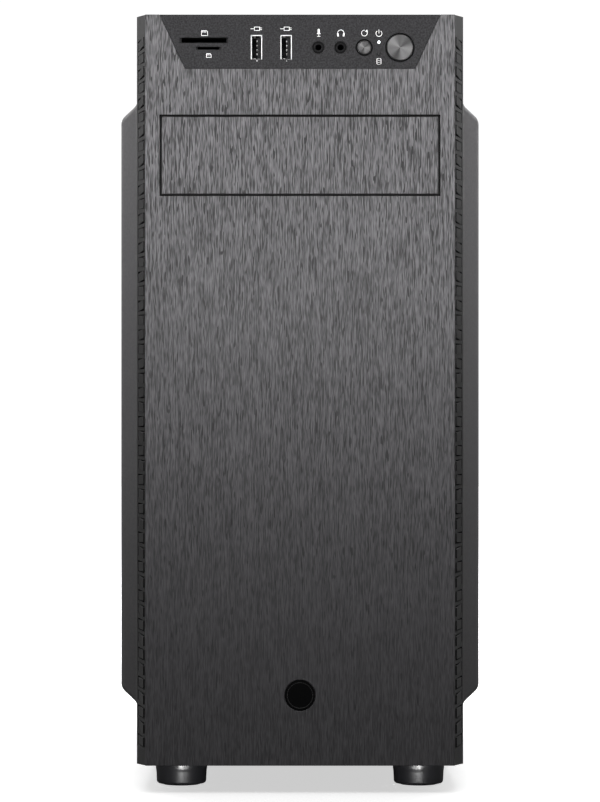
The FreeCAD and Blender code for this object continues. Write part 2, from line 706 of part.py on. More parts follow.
def feet():
    """Four stepped plastic feet, each with a plug that clips through the floor, and their rubber pads."""
    made = []
    for spot, (x, y) in foot_places().items():
        owner = body(f"foot_{spot}")
        turned(owner, [
            ("0", "2.2"), ("foot_r - 3.5", "2.2"), ("foot_r - 3.5", "0.6"), ("foot_r - 2.2", "0.6"),
            ("foot_r - 0.9", "1.9"), ("foot_r - 0.7", "foot_h - 5.2"), ("foot_r", "foot_h - 3.4"),
            ("foot_r", "foot_h"), ("4", "foot_h"), ("4", FLOOR), ("0", FLOOR),
        ])
        made.append(place(owner, x, y, "0"))
    node("feet", group(*made))
    pads = [rod("z", (x, y, "0"), "foot_r - 3.9", "2.2") for x, y in foot_places().values()]
    node("foot_pads", group(*pads))


def filter_tray():
    """A mesh frame that slides in under the supply's air inlet."""
    y = (f"{INNER_REAR} - filter_l + 2", f"{REAR} - 1")
    z = ("foot_h - 3", "foot_h - fit_gap")
    frame = box(both("filter_w"), y, z, "filter_frame")
    pitch = "((filter_l - 20)/3)"
    windows = [box(about(f"{i}*(filter_w - 6)/4", "(filter_w - 6)/4 - 2"),
                   (f"{y[0]} + 5 + {k}*{pitch}", f"{y[0]} + 3 + {k + 1}*{pitch}"),
                   ("foot_h - 4", "foot_h")) for i in (-1.5, -0.5, 0.5, 1.5) for k in range(3)]
    mesh = box(both("filter_w - 3"), (f"{y[0]} + 3", f"{y[1]} - 6"), ("foot_h - 1.7", "foot_h - 1.3"))
    pull = box(both("30"), (f"{y[1]} - 2", y[1]), ("foot_h - 5.5", "foot_h - fit_gap"))
    node("filter_tray", fuse(cut(frame, *windows), mesh, pull))


def side_panel(label, side):
    """A pressed steel cover with a raised field, and two ears that wrap behind the rear wall."""
    y = (f"{CHASSIS_FRONT} + fit_gap", f"{REAR} + panel_t")
    z = ("foot_h + fit_gap", "case_h - fit_gap")
    skin = box(sided(side, "case_w/2 - panel_t", "case_w/2"), y, z, f"{label}_skin")
    ears = [box(sided(side, f"{SIDE} - 14", "case_w/2"), (REAR, f"{REAR} + panel_t"), about(spot, "25"))
            for _, spot in thumbscrew_places()[:2]]
    holes = [rod("y", (f"{side}*({SIDE} - 7)", f"{REAR} - 1", spot), "2", "panel_t + 2")
             for _, spot in thumbscrew_places()[:2]]
    outside, inside = raised(side, "0"), raised(side, "panel_t")
    node(label, cut(fuse(skin, outside, *ears), inside, *holes))


def sided(side, near, far):
    """Bounds along X of something this far out on one side of the case."""
    return (near, far) if side > 0 else (f"-({far})", f"-({near})")


def raised(side, depth):
    """The block of a panel's raised field, this far below its surface."""
    edge = f"({depth}*0.41)"
    wide = (f"{CHASSIS_FRONT} + bulge_front + {edge}", f"{REAR} - bulge_back - {edge}",
            f"foot_h + bulge_bottom + {edge}", f"case_h - bulge_top - {edge}")
    narrow = (f"{wide[0]} + bulge_slope", f"{wide[1]} - bulge_slope",
              f"{wide[2]} + bulge_slope*0.68", f"{wide[3]} - bulge_slope*0.68")
    turn = Rotation(Vector(0, 0, 1), 90)
    if side > 0:
        return taper(narrow, wide, "bulge_out", (f"case_w/2 + bulge_out - {depth}", "0", "0"), turn)
    return taper(wide, narrow, "bulge_out", (f"{depth} - case_w/2", "0", "0"), turn)


def thumbscrews(label, side):
    """Two knurled screws that hold a side panel to the rear wall."""
    made = []
    for x, z in thumbscrew_places():
        if number(x) * side > 0:
            head = rod("y", (x, f"{REAR} + panel_t", z), "screw_head_r", "screw_head_l - 2.5")
            crown = rod("y", (x, f"{REAR} + panel_t + screw_head_l - 2.5", z), "screw_head_r - 1.6", "2.5")
            shank = rod("y", (x, f"{REAR} - 5", z), "1.5", "7")
            slot = box(about(x, "1.2"), (f"{REAR} + panel_t + screw_head_l - 1.4", "case_d"),
                       about(z, "20"))
            made.append(cut(fuse(head, crown, shank), slot))
    node(label, group(*made))


# ---------------------------------------------------------------- fans

# How far a spindle reaches into its hub, and how far the blades sweep at each end as a share of their depth.
SPINDLE_IN = "6"
ROOT_SWEEP = 0.30
TIP_SWEEP = 0.62


def rotor(label, at, rotation, radius, hub_r, depth, blades):
    """A hub and its raked blades about its own Z. The hub is bored from its far end for a spindle."""
    owner = body(label)
    bore, end = "(spindle_r + spindle_gap)", f"({depth} - {SPINDLE_IN} - 0.5)"
    profile = [
        ("0", "0"), (f"{hub_r} - 1", "0"), (hub_r, "1"), (hub_r, depth),
        (bore, depth), (bore, end), ("0", end),
    ]
    turned(owner, profile, "hub")
    root = outline(owner, "XZ_Plane", blade_section(depth, ROOT_SWEEP), f"-({hub_r} - 1)", "blade_root")
    reach = f"sqrt(({radius})^2 - ({depth}*{TIP_SWEEP} + 0.2)^2)"
    tip = outline(owner, "XZ_Plane", blade_section(depth, TIP_SWEEP), f"-{reach}", "blade_tip")
    blade = owner.newObject("PartDesign::AdditiveLoft", "blade")
    blade.Profile = root
    blade.Sections = [tip]
    doc.recompute()
    pattern = owner.newObject("PartDesign::PolarPattern", "blades")
    pattern.Originals = [blade]
    pattern.Axis = (next(f for f in owner.Origin.OriginFeatures if f.Role == "Z_Axis"), [""])
    pattern.Angle = 360
    pattern.Occurrences = blades
    owner.Tip = pattern
    place(owner, *at, rotation)
    node(label, owner)


def blade_section(depth, sweep):
    """A raked, slightly bowed strip as (across, up) corners, from the hub's low side to its high side."""
    run = f"({depth}*{sweep * 2})"
    lean = [(f"-{run}/2", f"{depth}*0.12"), (f"{run}*0.05", f"{depth}*0.42"), (f"{run}/2", f"{depth}*0.88")]
    back = [(f"{u} + 0.2", f"{v} + blade_t") for u, v in reversed(lean)]
    return lean + back


def fan_frame(label, x, y, z):
    """A square frame with a round tunnel, corner holes and a spindle on four struts. It blows along +Y."""
    block = box(about(x, "fan_size"), (y, f"{y} + fan_t"), about(z, "fan_size"))
    tunnel = rod("y", (x, f"{y} - 1", z), "fan_size/2 - 2.5", "fan_t + 2")
    corners = cut(
        box(about(x, "fan_size + 2"), (f"{y} + 4", f"{y} + fan_t - 4"), about(z, "fan_size + 2")),
        rod("y", (x, y, z), "fan_size/2 + 2", "fan_t"),
    )
    holes = fan_holes(x, z, (f"({y} - 1)", f"({y} + fan_t + 1)"))
    frame = cut(cut(block, tunnel, *holes), corners)
    back = (f"{y} + fan_t - 3", f"{y} + fan_t")
    mount = rod("y", (x, back[0], z), "hub_r", "3")
    struts = [box(about(x, "fan_size - 2"), back, about(z, "3")),
              box(about(x, "3"), back, about(z, "fan_size - 2"))]
    spindle = rod("y", (x, f"{back[0]} - 1 - {SPINDLE_IN}", z), "spindle_r", f"{SPINDLE_IN} + 2")
    node(label, fuse(frame, mount, spindle, *struts))


def fan(prefix, x, y, z):
    fan_frame(f"{prefix}_frame", x, y, z)
    facing = Rotation(Vector(1, 0, 0), -90)
    rotor(f"{prefix}_rotor", (x, f"{y} + 2", z), facing, "fan_size/2 - 2.5 - tip_gap", "hub_r - 0.5",
          "(fan_t - 6)", 9)


# ---------------------------------------------------------------- board, card, cooler


def on_board(y, z, height):
    """The bounds of a component: y and z are bounds, and height is how far it stands off the board."""
    return (f"{BOARD_FACE} - ({height})", BOARD_FACE), y, z


def board_y(inward):
    """A place along the board, measured forwards from its rear edge."""
    return f"({BOARD_REAR} - ({inward}))"


def board_z(down):
    """A height on the board, measured down from its top edge."""
    return f"({BOARD_TOP} - {down})"


def standoff_places():
    return [(board_y(a), board_z(b)) for a in (10, 134, 237) for b in (8, 166, 296)]


def motherboard():
    plate = box((BOARD_FACE, BOARD_BACK), (board_y("board_d"), BOARD_REAR),
                (board_z("board_h"), BOARD_TOP), "pcb")
    holes = [rod("x", (f"{BOARD_FACE} - 1", y, z), "2", "pcb_t + 2") for y, z in standoff_places()]
    node("motherboard", cut(plate, *holes))
    posts = [fuse(rod("x", (BOARD_BACK, y, z), "3.2", "standoff_h"),
                  rod("x", (BOARD_FACE, y, z), "1.7", "pcb_t"))
             for y, z in standoff_places()]
    heads = [rod("x", (f"{BOARD_FACE} - 2", y, z), "3", "2") for y, z in standoff_places()]
    node("board_standoffs", group(*posts))
    slot_heads = [rod("x", (f"{RAIL} - 3", f"{INNER_REAR} - 7", slot_z(i)), "2.8", "2")
                  for i in range(slot_count())]
    node("inner_screws", group(*heads, *slot_heads))


def cpu_socket():
    """The frame and lid that hold the processor."""
    y, z = about(SOCKET_Y, "54"), about(SOCKET_Z, "60")
    frame = box(*on_board(y, z, "4"), "socket_frame")
    lid = box((f"{BOARD_FACE} - 6.5", f"{BOARD_FACE} - 4"), about(SOCKET_Y, "38"), about(SOCKET_Z, "38"))
    return fuse(frame, lid)


def cooler():
    """A tower heatsink: base, four pipes and a stack of fins, with its fan on the front."""
    base = box((f"{BOARD_FACE} - 16", f"{BOARD_FACE} - 6.5"), about(SOCKET_Y, "40"), about(SOCKET_Z, "40"))
    pipes = [rod("x", (f"{BOARD_FACE} - cooler_reach", f"{SOCKET_Y} + {y0}", f"{SOCKET_Z} + {z0}"), "3",
                 "cooler_reach - 12")
             for y0 in (-9, 9) for z0 in (-30, -10, 10, 30)]
    lugs = [box((f"{BOARD_FACE} - 15", f"{BOARD_FACE} - 9"), about(SOCKET_Y, "24"),
                (f"{SOCKET_Z} {s} 36 - 4", f"{SOCKET_Z} {s} 36 + 4"))
            for s in "+-"]
    bridge = box((f"{BOARD_FACE} - 15", f"{BOARD_FACE} - 9"), about(SOCKET_Y, "24"), about(SOCKET_Z, "76"))
    count = int(number("(cooler_reach - 42)/5"))
    fins = [box((f"{BOARD_FACE} - cooler_reach + 2 + {5 * i}",
                 f"{BOARD_FACE} - cooler_reach + 3 + {5 * i}"),
                about(SOCKET_Y, "cooler_d"), about(SOCKET_Z, "fan_size - 6")) for i in range(count)]
    node("cooler_heatsink", fuse(base, bridge, *lugs, *pipes, *fins))
    fan("cooler_fan", f"({BOARD_FACE} - 35 - fan_size/2)", f"({SOCKET_Y} - cooler_d/2 - fan_t)", SOCKET_Z)


def memory():
    """Four memory sockets, two of them filled. The sockets are returned."""
    slots, sticks = [], []
    z = (board_z(156), board_z(16))
    for i in range(4):
        y = board_y(f"socket_in + 62 + {i}*9")
        slot = box(*on_board(about(y, "6.5"), z, "9"))
        groove = box((f"{BOARD_FACE} - 10", f"{BOARD_FACE} - 3"), about(y, "1.7"),
                     (f"{z[0]} + 3", f"{z[1]} - 3"))
        slots.append(cut(slot, groove))
        if i % 2:
            sticks.append(box((f"{BOARD_FACE} - 34", f"{BOARD_FACE} - 3"), about(y, "1.3"),
                              (f"{z[0]} + 3.4", f"{z[1]} - 3.4")))
    node("memory_modules", group(*sticks))
    return slots


def board_parts():
    """Heatsinks, expansion slots, headers, capacitors, coin cell and the rear port block."""
    sinks = [(about(board_y("socket_in - 42"), "14"), about(SOCKET_Z, "80"), "24"),
             (about(board_y(186), "42"), about(board_z(214), "42"), "12")]
    node("board_heatsinks", group(*[finned(*on_board(y, z, h)) for y, z, h in sinks]))
    slots = []
    for index, long in ((0, 89), (2, 25), (3, 89), (5, 25)):
        y = (board_y(52 + long), board_y(52))
        slot = box(*on_board(y, about(slot_z(index), "7.4"), "11"))
        key = box((f"{BOARD_FACE} - 12", f"{BOARD_FACE} - 3"), (f"{y[0]} + 2", f"{y[1]} - 2"),
                  about(slot_z(index), "1.9"))
        slots.append(cut(slot, key))
    heads = [
        box(*on_board((board_y(243), board_y(233)), about(board_z(120), "52"), "10")),
        box(*on_board((board_y(240), board_y(226)), about(board_z(196), "17"), "8")),
        box(*on_board((board_y(240), board_y(226)), about(board_z(218), "17"), "8")),
        box(*on_board((board_y(62), board_y(52)), about(board_z(7), "9"), "9")),
        box(*on_board((board_y(224), board_y(200)), about(board_z(298), "6"), "9")),
    ]
    node("board_sockets", group(cpu_socket(), *memory(), *slots, *heads))
    cans = [rod("x", (f"{BOARD_FACE} - 9", board_y(a), board_z(b)), "3.2", "9")
            for a, b in ((44, 20), (52, 28), (44, 36), (36, 176), (46, 176), (26, 186), (206, 186),
                         (206, 262), (216, 262), (150, 268))]
    cell = rod("x", (f"{BOARD_FACE} - 4.5", board_y(172), board_z(272)), "10", "4.5")
    node("board_components", group(*cans, cell))


def finned(x, y, z):
    """A low heatsink: a block with slots across it."""
    block = box(x, y, z)
    length = number(f"({z[1]}) - ({z[0]})")
    count = int(length // 5)
    slots = [box((f"{x[0]} - 1", f"{x[1]} - 5"), (f"{y[0]} - 1", f"{y[1]} + 1"),
                 about(f"{z[0]} + {5 * i + 3.5}", "2.4"))
             for i in range(count)]
    return cut(block, *slots)


def rear_ports():
    """The shield in the rear wall and the ports that show through it: (drop, height, width, bore)."""
    ports = [(9, 14, 30, 0), (32, 28, 15, 1), (68, 18, 16, 2), (94, 28, 15, 1), (126, 28, 15, 3)]
    y = (f"{REAR} - 24", f"{REAR} + 0.6")
    blocks, holes = [], []
    for drop, tall, wide, kind in ports:
        z = (f"{IO_TOP} - {drop + tall}", f"{IO_TOP} - {drop}")
        x = (f"{BOARD_FACE} - {wide + 1}", BOARD_FACE)
        block = box(x, y, z)
        wells = port_wells(x, y, z, tall, wide, kind)
        blocks.append(cut(block, *wells))
        grown = (f"{x[0]} - 0.3", f"{x[1]} + 0.3")
        holes.append(box(grown, (f"{INNER_REAR} - 1", f"{REAR} + 1"), (f"{z[0]} - 0.3", f"{z[1]} + 0.3")))
    plate = box((f"{BOARD_FACE} + 2.5 - io_cut_w", f"{BOARD_FACE} + 2.5"), (INNER_REAR, REAR),
                (f"{IO_TOP} - io_cut_h", IO_TOP), "shield_plate")
    node("io_shield", cut(plate, *holes))
    node("rear_ports", group(*blocks))


def port_wells(x, y, z, tall, wide, kind):
    """The cavities of one rear port block."""
    mouth = (f"{y[1]} - 9", f"{y[1]} + 1")
    if kind == 0:
        return [box((f"{x[0]} + 4", f"{x[1]} - 5"), mouth, (f"{z[0]} + 3", f"{z[1]} - 3"))]
    if kind == 3:
        return [rod("y", (f"{x[0]} + {wide / 2}", mouth[0], f"{z[0]} + {tall * s}"), "1.8", "12")
                for s in (0.17, 0.5, 0.83)]
    if kind == 2:
        return [box((f"{x[0]} + 1.5", f"{x[1]} - 2.5"), mouth, (f"{z[0]} + 2.5", f"{z[1]} - 2.5"))]
    return [box((f"{x[0]} + 1.6", f"{x[1]} - 1.6"), mouth, about(f"{z[0]} + {tall * s}", "5.2"))
            for s in (0.2, 0.8)]


def slot_covers():
    """Blank brackets over the unused slots."""
    node("slot_covers", group(*[bracket(index) for index in range(2, slot_count())]))


def slot_rail():
    """The shelf inside the rear wall that the slot brackets' tabs are screwed to."""
    low, high = f"{slot_z(slot_count() - 1)} - 12", f"{slot_z(0)} + 12"
    shelf = box((RAIL, f"{RAIL} + sheet_t"), (f"{INNER_REAR} - 12", f"{INNER_REAR} - 1.2"), (low, high))
    ends = [box((f"{RAIL} - 6", f"{RAIL} + sheet_t"), (f"{INNER_REAR} - 12", INNER_REAR), z)
            for z in ((f"{low} - 1", low), (high, f"{high} + 1"))]
    return fuse(shelf, *ends)


def bracket(index):
    """One slot bracket: a strip behind the wall and a tab on the rail."""
    z = about(slot_z(index), "slot_pitch - 1.9")
    strip = box((f"{RAIL} - 1", f"{BOARD_FACE} + 5"), (f"{INNER_REAR} - 0.8", INNER_REAR), z)
    tab = box((f"{RAIL} - 1", RAIL), (f"{INNER_REAR} - 11", INNER_REAR), z)
    return fuse(strip, tab)


def graphics_card():
    """A two-slot card: its board, its bracket, and a shroud under the board with two fans."""
    x = (f"({BOARD_FACE} - 12 - card_w)", f"({BOARD_FACE} - 12)")
    y = (f"({INNER_REAR} - 0.8 - card_l)", f"({INNER_REAR} - 0.8)")
    top = f"({SLOT_Z} + 0.8)"
    low = f"({top} - card_t)"
    plate = box(x, y, (f"{top} - pcb_t", top), "card_pcb")
    finger = box((x[1], f"{BOARD_FACE} - 3.2"), (board_y(138.6), board_y(54.6)), (f"{top} - pcb_t", top))
    node("graphics_card_board", fuse(plate, finger))
    shroud = box((f"{x[0]} - 12", f"{x[1]} - 9"), (y[0], f"{y[1]} - 13"), (low, f"{top} - pcb_t"))
    middle = f"(({x[0]} + {x[1]} - 21)/2)"
    spots = [(name, f"({y[0]} + {share}*card_l)") for name, share in (("a", 0.22), ("b", 0.66))]
    wells = [rod("z", (middle, spot, f"{low} - 1"), "42", "12") for _, spot in spots]
    vents = [box((f"{x[0]} - 5", f"{x[1]} - 18"), (f"{y[0]} - 1", f"{y[0]} + 6"),
                 about(f"{low} + {6 + 6 * i}", "3"))
             for i in range(4)]
    spindles = [rod("z", (middle, spot, f"{low} + 10 - {SPINDLE_IN}"), "spindle_r", f"{SPINDLE_IN} + 2")
                for _, spot in spots]
    node("graphics_card_shroud", fuse(cut(shroud, *wells, *vents), *spindles))
    for name, spot in spots:
        rotor(f"graphics_fan_{name}", (middle, spot, f"{low} + 1"), Rotation(), "40", "16", "9", 11)
    bridge = box((f"{BOARD_FACE} - 60", f"{BOARD_FACE} - 20"), (f"{INNER_REAR} - 0.8", INNER_REAR),
                 (slot_z(1), slot_z(0)))
    outlets = [box(about(f"{BOARD_FACE} - {18 + 22 * i}", "15"), (f"{INNER_REAR} - 2", f"{INNER_REAR} + 1"),
                   about(slot_z(0), "5.6")) for i in range(3)]
    node("graphics_card_bracket", cut(fuse(bracket(0), bracket(1), bridge), *outlets))


# ---------------------------------------------------------------- supply and drives


def power_supply():
    x = both("psu_w")
    y = (PSU_FRONT, INNER_REAR)
    z = (FLOOR, f"{FLOOR} + psu_h")
    top = f"({FLOOR} + psu_h)"
    shell = cut(box(x, y, z, "psu_outside"),
                box(both("psu_w - 2"), (f"{y[0]} + 1", f"{y[1]} - 1"), (f"{FLOOR} + 1", f"{top} - 1")))
    middle = f"({PSU_FRONT} + psu_d/2)"
    inlet = box(about("-48", "28"), (f"{INNER_REAR} - 2", f"{INNER_REAR} + 1"),
                about(f"{FLOOR} + 28", "20.4"))
    switch = box(about("-48", "13.4"), (f"{INNER_REAR} - 2", f"{INNER_REAR} + 1"),
                 about(f"{FLOOR} + 56", "19.4"))
    well = rod("z", ("0", middle, f"{FLOOR} - 1"), "48", "3")
    slots = [box(about(f"{-18 + 10 * i}", "5"), (f"{INNER_REAR} - 2", f"{INNER_REAR} + 1"),
                 (f"{FLOOR} + 14", f"{top} - 14"))
             for i in range(9)]
    leads = rod("y", ("50", f"{PSU_FRONT} - 1", f"{FLOOR} + 42"), "9", "3")
    pierced = cut(shell, inlet, switch, well, leads, *slots)
    downwards = Rotation(Vector(1, 0, 0), 180)
    rotor("psu_fan_rotor", ("0", middle, f"{FLOOR} + 17"), downwards, "45", "16", "14", 7)
    rings = [cut(rod("z", ("0", middle, f"{FLOOR}"), f"{r} + 1", "1"),
                 rod("z", ("0", middle, f"{FLOOR} - 1"), f"{r} - 1", "3"))
             for r in (26, 38)]
    rings.append(rod("z", ("0", middle, FLOOR), "15", "1"))
    rings.append(rod("z", ("0", middle, f"{FLOOR} + 0.5"), "spindle_r", f"2.5 + {SPINDLE_IN}"))
    bars = [box(both("98"), about(middle, "2.4"), (FLOOR, f"{FLOOR} + 1")),
            box(both("2.4"), about(middle, "98"), (FLOOR, f"{FLOOR} + 1"))]
    node("psu_case", fuse(pierced, *rings, *bars))
    node("mains_sockets", group(mains_inlet(), rocker_switch()))
    core_z = (f"{FLOOR} + 26", f"{FLOOR} + 27.6")
    board = box(both("psu_w - 2"), (f"{y[0]} + 6", f"{y[1]} - 30"), core_z)
    lumps = [box((a, b), (f"{y[0]} + {c}", f"{y[0]} + {d}"), (core_z[1], f"{core_z[1]} + {e}"))
             for a, b, c, d, e in ((-20, 18, 20, 52, 38), (-62, -52, 14, 100, 46), (44, 54, 14, 100, 46),
                                   (-40, -26, 60, 92, 30))]
    node("psu_circuit", fuse(board, *lumps))


def mains_inlet():
    """The three-pin inlet."""
    back = f"({INNER_REAR} - 17)"
    case = box(about("-48", "27.4"), (back, f"{INNER_REAR}"), about(f"{FLOOR} + 28", "19.8"))
    rim = box(about("-48", "31"), (INNER_REAR, f"{INNER_REAR} + 0.9"), about(f"{FLOOR} + 28", "23.6"))
    recess = box(about("-48", "24.4"), (f"{back} + 2", f"{REAR} + 1"), about(f"{FLOOR} + 28", "16.6"))
    pins = [box(about(x, "2"), (f"{back} + 1", f"{back} + 11"), about(f"{FLOOR} + {z}", "4"))
            for x, z in ((-55, 26), (-48, 30), (-41, 26))]
    return fuse(cut(fuse(case, rim), recess), *pins)


def rocker_switch():
    """A rocker on two pins, drawn with its top pressed in. Its sleeve is returned."""
    z = f"({FLOOR} + 56)"
    rim = box(about("-48", "15"), (INNER_REAR, f"{INNER_REAR} + 0.9"), about(z, "21"))
    sleeve = box(about("-48", "13"), (f"{INNER_REAR} - 12", INNER_REAR), about(z, "19"))
    well = box(about("-48", "11"), (f"{INNER_REAR} - 11", f"{REAR} + 1"), about(z, "17"))
    pivot = rod("x", ("-54.2", f"{INNER_REAR} - 2", z), "1.26", "12.4")
    paddle = box(both("10.4"), ("-4.4", "2.6"), both("14.6"))
    pin = rod("x", ("-6", "0", "0"), "1.2", "12")
    rocker = fuse(paddle, pin)
    place(rocker, "-48", f"{INNER_REAR} - 2", z, Rotation(Vector(1, 0, 0), 8))
    node("rocker_switch", rocker)
    return cut(cut(fuse(rim, sleeve), well), pivot)


def drives():
    """A 3.5 inch drive in the cage's middle bay and a 2.5 inch one on the tray."""
    y = (f"({CAGE_FRONT} + 3)", f"({CAGE_FRONT} + 3 + drive_l)")
    low = f"({FLOOR} + bay_pitch + sheet_t/2)"
    case = box(both("drive_w"), y, (low, f"{low} + drive_h - 1.5"))
    board = box(both("drive_w - 16"), (f"{y[0]} + 20", y[1]), (low, f"{low} + 1.5"))
    hollow = box(both("drive_w - 15.6"), (f"{y[0]} + 19.8", f"{y[1]} + 1"), (f"{low} - 1", f"{low} + 1.5"))
    lid = box(both("drive_w - 3"), (f"{y[0]} + 1.5", f"{y[1]} - 6"),
              (f"{low} + drive_h - 1.5", f"{low} + drive_h"))
    node("hard_drive", fuse(cut(case, hollow), lid))
    node("hard_drive_board", group(board))
    flat = (f"{TRAY} - 7", TRAY)
    front = f"({INNER_FRONT} + 50)"
    node("solid_state_drive", group(box(flat, (front, f"{front} + 70"),
                                        (f"{BOARD_TOP} - 250", f"{BOARD_TOP} - 150"))))


def soft_tube(label, points, radius):
    """A cable along straight runs joined by arcs as large as its runs allow."""
    spots = [Vector(*(number(v) for v in point)) for point in points]
    edges, last = [], spots[0]
    radii = []
    for before, at, after in zip(spots, spots[1:], spots[2:]):
        back, ahead = (before - at), (after - at)
        turn = math.pi - back.getAngle(ahead)
        reach = 0.45 * min(back.Length, ahead.Length)
        radii.append(round(reach / math.tan(turn / 2), 1))
        start, end = at + back.normalize() * reach, at + ahead.normalize() * reach
        bend = (back + ahead).normalize()
        middle = at + bend * (reach / math.tan(turn / 2) * (1 / math.cos(turn / 2) - 1))
        edges += [Part.LineSegment(last, start).toShape(), Part.Arc(start, middle, end).toShape()]
        last = end
    edges.append(Part.LineSegment(last, spots[-1]).toShape())
    path = Part.Wire(edges)
    ring = Part.Wire([Part.Circle(spots[0], spots[1] - spots[0], radius).toShape()])
    tube = path.makePipeShell([ring], True, False)
    print(label, "length", round(path.Length, 1), "radii", radii,
          "volume ratio", round(tube.Volume / (math.pi * radius**2 * path.Length), 4))
    made = doc.addObject("Part::Feature", label)
    made.Shape = tube
    node(label, made)


def cables():
    """The board's main lead, its plug, and the lead from the front ports."""
    plug = box((f"{BOARD_FACE} - 24", f"{BOARD_FACE} - 10"), about(board_y(238), "9"),
               about(board_z(120), "50"))
    node("power_plug", group(plug))
    start = f"{BOARD_FACE} - 24"
    soft_tube("power_lead", [
        (start, board_y(238), board_z(120)),
        (f"{BOARD_FACE} - 46", board_y(238), board_z(120)),
        (f"{BOARD_FACE} - 60", board_y(246), board_z(146)),
        (f"{BOARD_FACE} - 50", board_y(262), board_z(186)),
        (f"{BOARD_FACE} - 42", board_y(268), board_z(236)),
        (f"{BOARD_FACE} - 34", board_y(252), board_z(286)),
        (f"{BOARD_FACE} - 26", board_y(210), f"{FLOOR} + 100"),
        ("50", f"{PSU_FRONT} - 48", f"{FLOOR} + 60"),
        ("50", f"{PSU_FRONT} - 24", f"{FLOOR} + 42"),
        ("50", f"{PSU_FRONT} + 14", f"{FLOOR} + 42"),
    ], number("cable_r"))


PARTS = (
    front_bezel, front_plate, io_panel, bay_cover, button_rings, port_housings, status_lights,
    front_io_board, chassis_base, chassis_roof, chassis_front, chassis_rear, motherboard_tray,
    optical_cage, drive_cage, feet, filter_tray, motherboard, cooler, board_parts, rear_ports,
    slot_covers, graphics_card, power_supply, drives, cables,
)


def main():
    louvre("louvre_left", -1)
    louvre("louvre_right", 1)
    button("power_button", POWER_X, "power_r", "1.2")
    button("reset_button", RESET_X, "reset_r", "1.2")
    for side, word in ((-1, "left"), (1, "right")):
        side_panel(f"side_panel_{word}", side)
        thumbscrews(f"thumbscrews_{word}", side)
    for make in PARTS:
        make()
    fan("front_fan", "0", INNER_FRONT, LOW_FAN_Z)
    fan("rear_fan", REAR_FAN_X, f"({INNER_REAR} - fan_t)", SOCKET_Z)
    doc.recompute()
    write()


def write():
    """Checks every object, then writes one STEP file per sub-part."""
    failed = [o.Label for o in doc.Objects if {"Invalid", "Error"} & set(o.State)]
    if failed:
        raise SystemExit(f"these objects failed: {failed}")
    for label, piece in nodes.items():
        if piece.Shape.isNull() or not piece.Shape.isValid() or not piece.Shape.Solids:
            raise SystemExit(f"{label} has no valid solid")
    os.makedirs("parts", exist_ok=True)
    for old in os.listdir("parts"):
        os.remove(os.path.join("parts", old))
    for label, piece in nodes.items():
        piece.Shape.exportStep(f"parts/{label}.step")
    print(len(nodes), "nodes")


main()
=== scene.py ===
"""A narrow desktop computer tower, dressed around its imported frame."""

from __future__ import annotations

import json
import logging
import math
import random
from contextlib import contextmanager
from dataclasses import dataclass
from enum import Enum
from typing import Callable, Iterable, Iterator, Sequence

